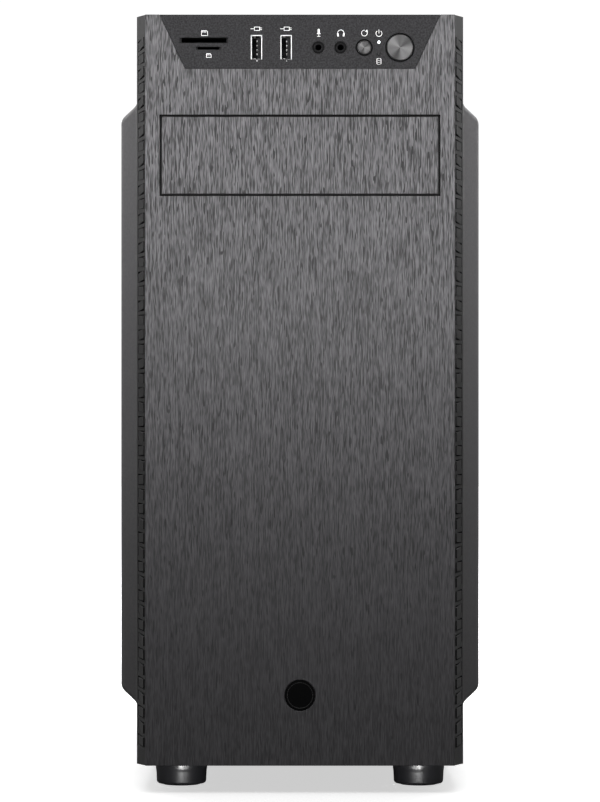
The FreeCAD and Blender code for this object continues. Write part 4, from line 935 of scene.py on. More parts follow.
def dress(node: str, finish: Finish, width: float = 0.0, segments: int = 2) -> bpy.types.Object:
    """Gives a CAD node its finish, on a copy with rounded edges where a width is given.

    Args:
        node: The CAD node.
        finish: Its finish.
        width: The width of the rounded edges, or 0 to keep the node itself.
        segments: Steps across each rounded edge.

    Returns:
        The shown object.
    """
    if width:
        form = Form.of_node(node).soften(width, segments)
        return form.piece(f"{node}_body", finish, body_of(node), [node])
    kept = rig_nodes()[node]
    kept.data.materials.clear()
    kept.data.materials.append(finish.material())
    LOG.info("%s: kept", node)
    return kept


# ------------------------------------------------------------------ studio


@dataclass
class Studio:
    """A white sweep, soft lights and the camera in front of the tower."""

    distance: float = 2.0
    eye: float = 0.2193
    lens: float = 161.5
    floor_size: float = 14.0

    def build(self) -> None:
        """Makes the camera, the floor, the lights and the surroundings."""
        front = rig.bounds()[0].y
        self.camera(front)
        self.floor()
        self.surroundings()
        self.softbox("key", (0.0, front - 0.42, 0.60), (0.0, front, 0.43), (0.6, 0.10), 1.3)
        self.softbox("top_key", (0.0, front - 0.42, 0.60), (0.0, front, 0.43), (0.6, 0.10), 0.95, 60)
        self.softbox("fill", (0.0, front - 0.30, 0.29), (0.0, front, 0.29), (0.5, 0.06), 0.60)
        self.softbox("overhead", (0.0, 1.2, 2.2), (0.0, 0.2, 0.0), (2.4, 2.4), 24.0)
        for side in (-1, 1):
            self.softbox(
                f"edge_key_{side}", (side * 0.30, front - 0.12, 0.50), (side * 0.10, front + 0.05, 0.38),
                (0.10, 0.10), 0.018, 60,
            )
            self.softbox(f"side_{side}", (side * 1.8, 1.6, 1.2), (0.0, 0.1, 0.2), (0.8, 1.4), 16.0)
        self.softbox("rear", (0.0, 2.0, 1.8), (0.0, 0.2, 0.2), (1.6, 0.8), 27.0)
        bpy.context.scene.view_settings.view_transform = "Standard"

    def camera(self, front: float) -> None:
        """Stands the camera square on to the front.

        Args:
            front: How far forward the tower's front stands.
        """
        data = bpy.data.cameras.new("camera")
        data.lens = self.lens
        data.sensor_width = 36.0
        data.clip_end = 50.0
        made = bpy.data.objects.new("camera", data)
        made.location = (0.0, front - self.distance, self.eye)
        made.rotation_euler = (math.radians(90), 0.0, 0.0)
        bpy.context.scene.collection.objects.link(made)
        bpy.context.scene.camera = made

    def floor(self) -> None:
        """Lays a floor that runs out of sight, pale to the camera and dark to bounced light, with a glow that only the
        camera sees, weaker near the tower: painted light that sets how grey the shadow under the tower looks.
        """
        form = bmesh.new()
        bmesh.ops.create_grid(form, x_segments=2, y_segments=2, size=self.floor_size / 2)
        mesh = bpy.data.meshes.new("floor")
        form.to_mesh(mesh)
        form.free()
        shader = Shader("pale_floor")
        path = shader.add("ShaderNodeLightPath").outputs
        tone = shader.noise((3, 3, 3), 2.0)
        reach = shader.add("ShaderNodeVectorMath", {0: shader.place}, operation="LENGTH").outputs["Value"]
        # Painted light: the glow rises from 0.6 within 0.3 m of the middle to 1.1 beyond 0.9 m, so the floor far off
        # reads white and the shadow under the tower stays light grey.
        glow = shader.span(reach, 0.30, 0.9, 0.60, 1.1)
        pale = shader.blend(tone, (0.88, 0.88, 0.88), (0.90, 0.90, 0.90))
        shader.set(
            Base_Color=shader.blend(path["Is Camera Ray"], (0.13, 0.13, 0.13), pale),
            Roughness=0.9,
            Specular_IOR_Level=0.1,
            Emission_Color=(1.0, 1.0, 1.0),
            Emission_Strength=shader.sum(path["Is Camera Ray"], glow, "MULTIPLY"),
        )
        mesh.materials.append(shader.material)
        made = bpy.data.objects.new("floor", mesh)
        bpy.context.scene.collection.objects.link(made)
        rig.stage(made)

    def surroundings(self) -> None:
        """White all round to the eye, and for light brighter above than at the horizon."""
        world = bpy.data.worlds.new("studio")
        world.use_nodes = True
        bpy.context.scene.world = world
        nodes, links = world.node_tree.nodes, world.node_tree.links
        nodes.clear()
        place = nodes.new("ShaderNodeTexCoord")
        parts = nodes.new("ShaderNodeSeparateXYZ")
        rise = nodes.new("ShaderNodeMapRange")
        path = nodes.new("ShaderNodeLightPath")
        pick = nodes.new("ShaderNodeMix")
        back = nodes.new("ShaderNodeBackground")
        out = nodes.new("ShaderNodeOutputWorld")
        for name, value in (("From Min", 0.0), ("From Max", 0.9), ("To Min", 0.01), ("To Max", 0.20)):
            rise.inputs[name].default_value = value
        pick.inputs[3].default_value = 1.05
        back.inputs["Color"].default_value = (1.0, 1.0, 1.0, 1.0)
        for start, end in (
            (place.outputs["Generated"], parts.inputs[0]),
            (parts.outputs["Z"], rise.inputs["Value"]),
            (path.outputs["Is Camera Ray"], pick.inputs[0]),
            (rise.outputs[0], pick.inputs[2]),
            (pick.outputs[0], back.inputs["Strength"]),
            (back.outputs[0], out.inputs[0]),
        ):
            links.new(start, end)

    def softbox(
        self,
        name: str,
        at: Sequence[float],
        aim: Sequence[float],
        size: Pair,
        power: float,
        spread: float = 180.0,
    ) -> bpy.types.Object:
        """Hangs a soft light and points it at a place, with its beam held to a spread in degrees.

        Args:
            name: Its name.
            at: Where it stands.
            aim: Where it points.
            size: Its width and height.
            power: Its power in watts.
            spread: The beam's spread, in degrees.

        Returns:
            The light's object.
        """
        data = bpy.data.lights.new(name, "AREA")
        data.shape = "RECTANGLE"
        data.size, data.size_y = size
        data.energy = power
        data.spread = math.radians(spread)
        made = bpy.data.objects.new(name, data)
        made.location = at
        made.rotation_euler = (Vector(aim) - Vector(at)).to_track_quat("-Z", "Y").to_euler()
        made.visible_camera = False
        bpy.context.scene.collection.objects.link(made)
        return made

    def gleam(self, shown: bpy.types.Object) -> None:
        """Hangs two small lights low in front, which fall on one piece alone.

        Args:
            shown: The piece that is lit.
        """
        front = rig.bounds()[0].y
        group = bpy.data.collections.new(f"{shown.name}_lit")
        group.objects.link(shown)
        for side in (-1, 1):
            lamp = self.softbox(
                f"gleam_{side}", (side * 0.066, front - 0.30, 0.012), (side * 0.068, front + 0.06, 0.008),
                (0.022, 0.012), 0.16, 60,
            )
            lamp.light_linking.receiver_collection = group


# ------------------------------------------------------------------ front


@dataclass
class Front:
    """The moulded front: shell, louvre strips, brushed plate, bay blank and badge."""

    edge: float = 0.35 * MM
    gap: float = 1.2 * MM
    draft: float = 7.64
    strip: float = 2.4 * MM
    pitch: float = 8.14 * MM
    rib: float = 2.0 * MM
    slit: float = 1.1 * MM
    leaf: float = 1.0 * MM
    margin: float = 1.4 * MM
    badge_radius: float = 8.6 * MM
    badge_ring: float = 1.1 * MM

    def build(self) -> None:
        """Makes the front's pieces."""
        dress("front_bezel", Finishes.bezel, self.edge)
        for node in ("louvre_left", "louvre_right"):
            dress(node, Finishes.slat, 0.18 * MM)
        self.slats("louvre_left", -1)
        self.slats("louvre_right", 1)
        dress("front_plate", Finishes.face, 0.25 * MM)
        dress("bay_cover", Finishes.face, 0.3 * MM)
        self.groove_shade()
        self.badge()

    def slats(self, node: str, side: int) -> None:
        """Fills the windows of a louvre strip with leaning slats that leave wedge-shaped slits.

        Args:
            node: The strip.
            side: -1 on the left and 1 on the right.
        """
        low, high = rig.box(node)
        slope = math.radians(self.draft)
        length = (high.y - low.y - self.strip * math.sin(slope)) / math.cos(slope)
        near = abs(high.x if side > 0 else low.x) - length * math.sin(slope)
        start = (side * near, low.y, 0.0)
        frame = Matrix.Translation(start) @ Matrix.Rotation(-side * slope, 4, "Z")
        rows = round((high.z - low.z) / self.pitch)
        form = Form()
        for row in range(rows):
            middle_z = low.z + (row + 0.5) * self.pitch
            tall = self.pitch - self.rib - self.slit
            lean = Matrix.Rotation(math.radians(1.6 if row % 2 else -1.6), 4, "X")
            leaf = Form().block(
                (-self.leaf / 2, -length / 2 + self.margin, -tall / 2),
                (self.leaf / 2, length / 2 - self.margin, tall / 2), 0.15 * MM, lean,
            )
            inward = -side * (self.leaf / 2 + 0.25 * MM)
            at = Matrix.Translation((inward, length / 2, middle_z))
            bmesh.ops.transform(leaf.bm, matrix=frame @ at, verts=leaf.bm.verts)
            form.join(leaf)
        form.piece(f"{node}_slats", Finishes.slat, "tower")

    def groove_shade(self) -> None:
        """Lines the opening round the bay blank with a thin black liner: painted shade for the deep groove round the
        blank.
        """
        low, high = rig.box("bay_cover")
        near, far = low.y + 0.06 * MM, low.y + 1.95 * MM
        gap, thick = self.gap - 0.02 * MM, 0.6 * MM
        form = Form()
        for side in (low.x - gap, high.x + gap - thick):
            form.block((side, near, low.z - gap), (side + thick, far, high.z + gap))
        for level in (low.z - gap, high.z + gap - thick):
            form.block((low.x - gap, near, level), (high.x + gap, far, level + thick))
        # A black sheet where the groove is only dark with shade: painted shade.
        form.piece("bay_groove_shade", Finishes.pit, "tower")

    def badge(self) -> None:
        """A black disc with a fine bright ring let into it."""
        low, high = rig.box("badge")
        at = ((low.x + high.x) / 2, high.y, (low.z + high.z) / 2)
        deep = high.y - low.y
        radius = self.badge_radius - 0.15 * MM
        inner = radius - self.badge_ring
        profile = [(0, 0), (radius, 0), (radius, deep - 0.1 * MM), (radius - 0.1 * MM, deep), (inner, deep)]
        profile += [(inner - 0.1 * MM, deep - 0.2 * MM), (inner - 0.5 * MM, deep - 0.2 * MM)]
        profile += [(inner - 0.6 * MM, deep - 0.05 * MM), (0, deep)]
        Form().turned(profile, at, Facing.FRONT, 96).piece("badge_disc", Finishes.pit, "tower", ["badge"])
        seat = (at[0], low.y + 0.22 * MM, at[2])
        ring = Form().ring(seat, Facing.FRONT, inner - 0.1 * MM, inner - 0.45 * MM, 0.12 * MM)
        ring.piece("badge_ring", Finishes.shell, "tower")


@dataclass
class PortPanel:
    """The panel over the bay, with its ports, buttons, lamps and printed symbols."""

    jack_gap: float = 12.3 * MM
    jack_from_reset: float = 13.2 * MM
    usb_width: float = 6.2 * MM
    power_radius: float = 7.2 * MM
    reset_radius: float = 3.8 * MM
    line: float = 0.30 * MM
    print_depth: float = 0.05 * MM

    def build(self) -> None:
        """Makes the panel's pieces."""
        dress("io_panel", Finishes.panel, 0.15 * MM)
        dress("button_rings", Finishes.pit, 0.12 * MM)
        dress("port_housings", Finishes.black, 0.1 * MM)
        dress("usb_shells", Finishes.shell, 0.12 * MM)
        self.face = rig.box("io_panel")[0].y
        self.power = middle("power_button")
        self.reset = middle("reset_button")
        self.level = self.power.z
        low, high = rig.box("usb_shells")
        self.usb = [low.x + self.usb_width / 2, high.x - self.usb_width / 2]
        self.jacks = [self.reset.x - self.jack_from_reset - i * self.jack_gap for i in (1, 0)]
        self.lamp_x = middle("status_lights").x
        self.button("power_button", self.power, self.power_radius)
        self.button("reset_button", self.reset, self.reset_radius)
        self.lamps()
        self.contacts()
        self.jack_rings()
        self.symbols()

    def button(self, node: str, at: Vector, radius: float) -> None:
        """A lathe-turned cap with a shallow dish, a chamfer and its stem.

        Args:
            node: The CAD node.
            at: Where it stands.
            radius: Its outer radius.
        """
        low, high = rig.box(node)
        deep = high.y - low.y
        edge = 0.45 * MM
        dish = [(radius * s, deep - 0.35 * MM * (1 - s * s)) for s in (0.0, 0.2, 0.4, 0.6, 0.75, 0.86)]
        profile = dish + [
            (radius - edge, deep), (radius - 0.15 * MM, deep - 0.12 * MM), (radius, deep - edge),
            (radius, deep - 3.4 * MM), (radius + 0.76 * MM, deep - 3.4 * MM),
            (radius + 0.76 * MM, deep - 4.6 * MM), (1.2 * MM, deep - 4.6 * MM), (1.2 * MM, 0), (0, 0),
        ]
        finish = SpunMetal(f"{node}_spun", (0.085, 0.084, 0.085), 0.45, "spun_metal", (at.x, at.z))
        place = (at.x, high.y, at.z)
        Form().turned(profile, place, Facing.FRONT, 128).piece(f"{node}_cap", finish, body_of(node), [node])

    def lamps(self) -> None:
        """Two light guides: a lit one with a faceted tip above, and a dark one below."""
        low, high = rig.box("status_lights")
        deep = high.y - low.y
        for name, z, radius, finish, replaces in (
            ("power_lamp", high.z - 1.0 * MM, 0.8 * MM, Finishes.lamp, ["status_lights"]),
            ("drive_lamp", low.z + 0.8 * MM, 0.75 * MM, Finishes.dark_lamp, []),
        ):
            tip = [(0, 0), (radius, 0), (radius, deep - 0.15 * MM), (radius - 0.2 * MM, deep), (0, deep)]
            form = Form().turned(tip, (self.lamp_x, high.y, z), Facing.FRONT, 4)
            form.piece(name, finish, "tower", replaces)

    def contacts(self) -> None:
        """Gilt pins on each tongue, spring tabs in each shell, a bright frame on the left, right and top of its mouth
        as a painted highlight on the shell's edge, and a small bright dot under it.
        """
        gilt, springs, lip_highlights_and_dots = Form(), Form(), Form()
        near = self.face - 0.30 * MM
        for x in self.usb:
            half = self.usb_width / 2
            for row in range(4):
                z = self.level + (row - 1.5) * 2.35 * MM
                gilt.block((x + 0.1 * MM, self.face + 0.9 * MM, z - 0.22 * MM),
                           (x + 0.5 * MM, self.face + 9.0 * MM, z + 0.22 * MM), 0.03 * MM)
            for side in (-1, 1):
                wall = self.level + side * 6.3 * MM
                inward = wall - side * 0.4 * MM
                springs.block(
                    (x - 1.6 * MM, self.face + 2.2 * MM, min(wall, inward)),
                    (x - 0.4 * MM, self.face + 6.4 * MM, max(wall, inward)), 0.15 * MM,
                )
                # Painted highlight: the bright frame round the mouth stands in for the light that the shell's front
                # edge catches.
                rim = x + side * (half - 0.22 * MM)
                lip_highlights_and_dots.block((rim - 0.25 * MM, near, self.level - 6.6 * MM),
                           (rim + 0.25 * MM, near + 0.4 * MM, self.level + 6.9 * MM), 0.06 * MM)
            lip_highlights_and_dots.block((x - half, near, self.level + 6.4 * MM),
                       (x + half, near + 0.4 * MM, self.level + 6.9 * MM), 0.06 * MM)
            dot = (x + 0.3 * MM, self.face + 0.2 * MM, self.level - 7.5 * MM)
            lip_highlights_and_dots.rod(dot, Facing.FRONT, 0.3 * MM, 0.3 * MM, 0.05 * MM, 12)
        gilt.piece("usb_contacts", Finishes.plated, "tower")
        springs.piece("usb_springs", Finishes.plated, "tower")
        lip_highlights_and_dots.piece("usb_lip_highlights_and_dots", Finishes.lip_highlight, "tower")

    def jack_rings(self) -> None:
        """A stepped collar round the mouth of each sound jack."""
        collars = Form()
        for x in self.jacks:
            at = (x, self.face + 0.05 * MM, self.level)
            profile = [(1.85, 0.0), (3.3, 0.0), (3.3, 0.22), (2.9, 0.42), (2.5, 0.42), (2.2, 0.18)]
            collars.turned(in_metres([*profile, profile[0]]), at, Facing.FRONT, 48)
        collars.piece("jack_collars", Finishes.pit, "tower")

    def symbols(self) -> None:
        """Prints the symbols over and under the ports."""
        form = Form()
        up = self.level + 8.0 * MM
        self.microphone(form, self.jacks[0] + 0.2 * MM, up)
        self.headphones(form, self.jacks[1] + 0.2 * MM, up)
        self.restart(form, self.reset.x + 0.1 * MM, up)
        self.power_sign(form, self.lamp_x, up - 0.2 * MM)
        self.disc_stack(form, self.lamp_x, self.level - 7.7 * MM)
        for x in self.usb:
            self.plug(form, x, self.level + 10.4 * MM)
        card_x = middle("io_panel").x - 53.1 * MM
        self.card(form, card_x, self.level + 8.1 * MM, 3.4 * MM, 2.7 * MM)
        self.card(form, card_x + 2.4 * MM, self.level - 4.3 * MM, 2.6 * MM, 2.1 * MM)
        form.piece("port_symbols", Finishes.ink, "tower")

    def bar(self, form: Form, x: float, z: float, wide: float, tall: float, lean: float = 0.0) -> None:
        """Prints a bar about a place, leaning by so many degrees.

        Args:
            form: The form that takes in the shape.
            x: Its place from left to right.
            z: Its height.
            wide: Its width.
            tall: Its height from top to bottom.
            lean: Its lean, in degrees.
        """
        near, far = self.face - self.print_depth, self.face + 0.02 * MM
        turn = Matrix.Rotation(math.radians(lean), 4, "Y")
        form.block((x - wide / 2, near, z - tall / 2), (x + wide / 2, far, z + tall / 2), 0.0, turn)

    def curve(self, form: Form, x: float, z: float, radius: float, span: Pair, squash: float = 1.0) -> None:
        """Prints part of a circle's line. Angles go round from the right, as seen from the front.

        Args:
            form: The form that takes in the shape.
            x: Its place from left to right.
            z: Its height.
            radius: Its outer radius.
            span: Where it starts and ends, in degrees.
            squash: How far it is flattened.
        """
        at = (x, self.face + 0.02 * MM, z)
        outer, inner = radius + self.line / 2, radius - self.line / 2
        form.arc(at, Facing.FRONT, outer, inner, self.print_depth + 0.02 * MM, span, squash)

    def microphone(self, form: Form, x: float, z: float) -> None:
        """A capsule on a stand.

        Args:
            form: The form that takes in the shape.
            x: Its place from left to right.
            z: Its height.
        """
        self.bar(form, x, z + 0.75 * MM, 1.15 * MM, 2.1 * MM)
        form.rod((x, self.face + 0.02 * MM, z + 1.8 * MM), Facing.FRONT, 0.57 * MM, 0.07 * MM, 0, 20)
        self.bar(form, x, z - 0.3 * MM, 1.9 * MM, 0.5 * MM)
        self.bar(form, x, z - 1.1 * MM, self.line, 1.2 * MM)
        self.bar(form, x, z - 1.8 * MM, 1.9 * MM, self.line)

    def headphones(self, form: Form, x: float, z: float) -> None:
        """A band over two ear pads.

        Args:
            form: The form that takes in the shape.
            x: Its place from left to right.
            z: Its height.
        """
        self.curve(form, x, z, 1.75 * MM, (-15, 195))
        for side in (-1, 1):
            self.bar(form, x + side * 1.6 * MM, z - 1.0 * MM, 0.85 * MM, 1.7 * MM, side * 8)

    def restart(self, form: Form, x: float, z: float) -> None:
        """A circle that ends in an arrow head.

        Args:
            form: The form that takes in the shape.
            x: Its place from left to right.
            z: Its height.
        """
        self.curve(form, x, z, 1.6 * MM, (80, 370))
        place = Matrix.Translation((x + 1.25 * MM, self.face - self.print_depth, z + 1.05 * MM))
        with form.apart(place @ Facing.FRONT.turn() @ Matrix.Rotation(math.radians(-20), 4, "Z")) as bm:
            bmesh.ops.create_circle(bm, cap_ends=True, segments=3, radius=0.95 * MM)

    def power_sign(self, form: Form, x: float, z: float) -> None:
        """An open circle with a bar in its gap."""
        self.curve(form, x, z, 1.65 * MM, (125, 415))
        self.bar(form, x, z + 1.1 * MM, self.line, 2.1 * MM)

    def disc_stack(self, form: Form, x: float, z: float) -> None:
        """A drum in outline: a full ring above two half rings, with sides.

        Args:
            form: The form that takes in the shape.
            x: Its place from left to right.
            z: Its height.
        """
        for drop, span in ((1.1, (0, 360)), (0.0, (180, 360)), (-1.1, (180, 360))):
            self.curve(form, x, z + drop * MM, 1.2 * MM, span, 0.5)
        for side in (-1, 1):
            self.bar(form, x + side * 1.2 * MM, z, self.line, 2.3 * MM)

    def plug(self, form: Form, x: float, z: float) -> None:
        """A plug lying on its side: a body, a tip and a lead.

        Args:
            form: The form that takes in the shape.
            x: Its place from left to right.
            z: Its height.
        """
        for drop in (-1, 1):
            self.bar(form, x + 0.3 * MM, z + drop * 0.95 * MM, 2.9 * MM, self.line)
            self.bar(form, x + 2.35 * MM, z + drop * 0.45 * MM, 1.3 * MM, self.line)
        for side in (-1.15, 1.75):
            self.bar(form, x + side * MM, z, self.line, 2.3 * MM)
        self.bar(form, x - 2.2 * MM, z, 2.1 * MM, self.line)

    def card(self, form: Form, x: float, z: float, wide: float, tall: float) -> None:
        """A memory card in outline, with a cut corner and contacts.

        Args:
            form: The form that takes in the shape.
            x: Its place from left to right.
            z: Its height.
            wide: Its width.
            tall: Its height from top to bottom.
        """
        cut = 0.7 * MM
        self.bar(form, x - wide / 2, z - 0.15 * MM, self.line, tall)
        self.bar(form, x, z - tall / 2 - 0.15 * MM, wide + self.line, self.line)
        self.bar(form, x + wide / 2, z - cut / 2 - 0.1 * MM, self.line, tall - cut)
        self.bar(form, x - cut / 2, z + tall / 2 - 0.15 * MM, wide - cut, self.line)
        self.bar(form, x + wide / 2 - cut / 2, z + tall / 2 - cut / 2 - 0.1 * MM, self.line, 1.1 * MM, -45)
        for i in range(3):
            self.bar(form, x + (i - 1.2) * 0.8 * MM, z + tall / 2 - 0.8 * MM, 0.35 * MM, 0.7 * MM)


# ------------------------------------------------------------------ case


@dataclass
class Case:
    """The sheet-metal chassis, its side panels, feet and thumbscrews."""

    fold: float = 0.14 * MM
    press_radius: float = 2.6 * MM
    knurls: int = 40
    foot_radius: float = 14.7 * MM

    def build(self) -> None:
        """Makes the case's pieces."""
        for node in (
            "chassis_base", "chassis_roof", "chassis_front", "chassis_rear",
            "motherboard_tray", "optical_cage", "drive_cage",
        ):
            dress(node, Finishes.coat, self.fold)
        for side in ("left", "right"):
            self.panel(side)
            self.screws(side)
        self.feet()
        dress("foot_pads", Finishes.rubber, 0.3 * MM)
        dress("filter_tray", Finishes.tray, 0.15 * MM)
        self.rivets()

    def panel(self, side: str) -> None:
        """A side panel with the rounded shoulders of a pressed field.

        Args:
            side: left or right.
        """
        node = f"side_panel_{side}"
        low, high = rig.box(node)
        out = max(abs(low.x), abs(high.x))
        flat = out - 10.2 * MM
        ears = high.y - 1.5 * MM

        def pressed(edge: bmesh.types.BMEdge) -> bool:
            """True on the edges of the raised field.

            Args:
                edge: The edge.

            Returns:
                Whether it is one of the field's edges.
            """
            inside = all(low.y + 5 * MM < v.co.y < ears - 20 * MM for v in edge.verts)
            tall = all(low.z + 8 * MM < v.co.z < high.z - 8 * MM for v in edge.verts)
            return inside and tall and all(abs(v.co.x) > flat - 1.2 * MM for v in edge.verts)

        form = Form.of_node(node)
        form.soften(self.press_radius, 5, pressed, 15.0)
        form.soften(0.2 * MM, 2, lambda e: not pressed(e))
        form.piece(f"{node}_pressing", Finishes.coat, body_of(node), [node], 30.0)

    def screws(self, side: str) -> None:
        """Two knurled thumbscrews with a slot and a stepped crown.

        Args:
            side: left or right.
        """
        node = f"thumbscrews_{side}"
        low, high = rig.box(node)
        x = (low.x + high.x) / 2
        radius = (high.x - low.x) / 2
        seat = high.y - 8.0 * MM
        form = Form()
        for z in (low.z + radius, high.z - radius):
            self.thumbscrew(form, (x, seat, z), radius)
        form.piece(f"{node}_knurled", Finishes.black, body_of(node), [node], 30.0)

    def thumbscrew(self, form: Form, at: Sequence[float], radius: float) -> None:
        """Adds one screw: a fluted head drawn out from a star, a crown, a collar and a shank.

        Args:
            form: The form that takes in the shape.
            at: Where it stands.
            radius: Its outer radius.
        """
        with form.apart(Matrix.Translation(Vector(at)) @ Facing.REAR.turn()) as bm:
            star = bmesh.ops.create_circle(bm, cap_ends=True, segments=self.knurls * 2, radius=radius)
            rim = star["verts"]
            for vert in rim[::2]:
                vert.co *= 0.94
            bmesh.ops.translate(bm, vec=(0, 0, 0.8 * MM), verts=rim)
            drawn = bmesh.ops.extrude_face_region(bm, geom=list(bm.faces))["geom"]
            top = [g for g in drawn if isinstance(g, bmesh.types.BMVert)]
            bmesh.ops.translate(bm, vec=(0, 0, 4.2 * MM), verts=top)
            lids = [g for g in drawn if isinstance(g, bmesh.types.BMFace)]
            bmesh.ops.inset_region(bm, faces=lids, thickness=0.5 * MM, depth=0.4 * MM)
        x, y, z = at
        form.rod((x, y, z), Facing.REAR, radius * 0.78, 1.0 * MM, 0.2 * MM)
        form.rod((x, y - 6.0 * MM, z), Facing.REAR, 1.5 * MM, 7.0 * MM, 0.2 * MM, 20)
        crown = radius - 1.6 * MM
        for side in (-1, 1):
            self.half_crown(form, (x, y + 5.2 * MM, z), crown, side)

    def half_crown(self, form: Form, at: Sequence[float], radius: float, side: int) -> None:
        """Adds half of the crown, so that a driver's slot is left between the halves.

        Args:
            form: The form that takes in the shape.
            at: Where it stands.
            radius: Its outer radius.
            side: -1 or 1, for the half that is kept.
        """
        half = Form().rod((0, 0, 0), Facing.REAR, radius, 2.6 * MM, 0.4 * MM, 40)
        geom = [*half.bm.verts, *half.bm.edges, *half.bm.faces]
        cut = bmesh.ops.bisect_plane(
            half.bm, geom=geom, plane_co=(side * 0.6 * MM, 0, 0), plane_no=(-side, 0, 0), clear_outer=True
        )["geom_cut"]
        bmesh.ops.contextual_create(half.bm, geom=[g for g in cut if isinstance(g, bmesh.types.BMEdge)])
        bmesh.ops.translate(half.bm, vec=at, verts=half.bm.verts)
        form.join(half)

    def feet(self) -> None:
        """Four glossy feet with a rolled shoulder."""
        low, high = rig.box("feet")
        radius = self.foot_radius
        form = Form()
        profile = [(0.0, 2.2), (11.2, 2.2), (11.2, 0.6), (12.4, 0.6), (13.2, 0.75), (13.8, 1.2)]
        profile += [(14.15, 2.0), (14.4, 7.4), (14.55, 8.6), (14.68, 9.3), (14.7, 9.9), (14.7, 13.55)]
        profile += [(14.6, 13.7), (4.0, 13.7), (4.0, 14.6), (0.0, 14.6)]
        for x in (low.x + radius, high.x - radius):
            for y in (low.y + radius, high.y - radius):
                form.turned(in_metres(profile), (x, y, 0.0), Facing.UP, 96)
        form.piece("feet_turned", Finishes.satin, "tower", ["feet"])

    def rivets(self) -> None:
        """Blind rivets along the seams of the chassis."""
        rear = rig.box("chassis_rear")
        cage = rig.box("drive_cage")
        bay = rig.box("optical_cage")
        form = Form()
        head = [(0, 0), (1.9, 0), (1.8, 0.35), (1.3, 0.62), (0.75, 0.7), (0.7, 0.45), (0, 0.45)]
        shape = in_metres(head)
        side = rear[1].x
        for z in (0.05, 0.5, 0.95):
            height = rear[0].z + (rear[1].z - rear[0].z) * z
            for sign, facing in ((-1, Facing.RIGHT), (1, Facing.LEFT)):
                form.turned(shape, (sign * (side - 1.0 * MM), rear[1].y - 8 * MM, height), facing, 20)
        for box, facing, sign in ((cage, Facing.LEFT, -1), (cage, Facing.RIGHT, 1)):
            for y in (0.06, 0.94):
                at = (sign * box[1].x, box[0].y + (box[1].y - box[0].y) * y, box[1].z - 5 * MM)
                form.turned(shape, at, facing, 20)
        for y in (0.05, 0.95):
            for sign, facing in ((-1, Facing.LEFT), (1, Facing.RIGHT)):
                at = (sign * bay[1].x, bay[0].y + (bay[1].y - bay[0].y) * y, bay[0].z + 6 * MM)
                form.turned(shape, at, facing, 20)
        form.piece("chassis_rivets", Finishes.zinc, "tower")


# ------------------------------------------------------------------ inside


@dataclass
class Fans:
    """Three box fans, the card's two rotors and the supply's rotor, with hub labels and corner screws."""

    corner: float = 7.5 * MM
    label_radius: float = 9.0 * MM
    print_ring: Pair = (7.6 * MM, 7.0 * MM)

    def build(self) -> None:
        """Dresses every fan."""
        labels, screws = {}, Form()
        for prefix in ("front_fan", "rear_fan", "cooler_fan"):
            dress(f"{prefix}_frame", Finishes.frame, 0.4 * MM)
            dress(f"{prefix}_rotor", Finishes.blade, 0.2 * MM)
            self.corner_screws(screws, f"{prefix}_frame")
            labels[f"{prefix}_rotor"] = Facing.FRONT
        for node in ("graphics_fan_a", "graphics_fan_b", "psu_fan_rotor"):
            dress(node, Finishes.blade, 0.15 * MM)
            labels[node] = Facing.DOWN
        for node, facing in labels.items():
            self.label(node, facing)
        screws.piece("fan_screws", Finishes.plated, "tower")

    def label(self, node: str, facing: Facing) -> None:
        """A blank foil disc with a printed ring on a rotor's hub.

        Args:
            node: The CAD node.
            facing: The way it faces.
        """
        low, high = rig.box(node)
        centre = (low + high) / 2
        half = (high - low) / 2
        normal = Vector(facing.value)
        face = centre + Vector([n * h for n, h in zip(normal, half)])
        form = Form().rod(face - normal * 0.05 * MM, facing, self.label_radius, 0.12 * MM, 0.03 * MM, 48)
        form.piece(f"{node}_label", Finishes.label, body_of(node))
        ring = Form().ring(face + normal * 0.06 * MM, facing, *self.print_ring, 0.03 * MM)
        ring.piece(f"{node}_label_ring", Finishes.pit, body_of(node))

    def corner_screws(self, form: Form, node: str) -> None:
        """A countersunk screw head in each corner of a frame's front.

        Args:
            form: The form that takes in the shape.
            node: The CAD node.
        """
        low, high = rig.box(node)
        head = [(0, -1.0), (2.9, -1.0), (2.9, 0.15), (2.3, 0.5), (1.1, 0.6), (0.9, 0.0), (0, 0.0)]
        shape = in_metres(head)
        for x in (low.x + self.corner, high.x - self.corner):
            for z in (low.z + self.corner, high.z - self.corner):
                form.turned(shape, (x, low.y, z), Facing.FRONT, 24)


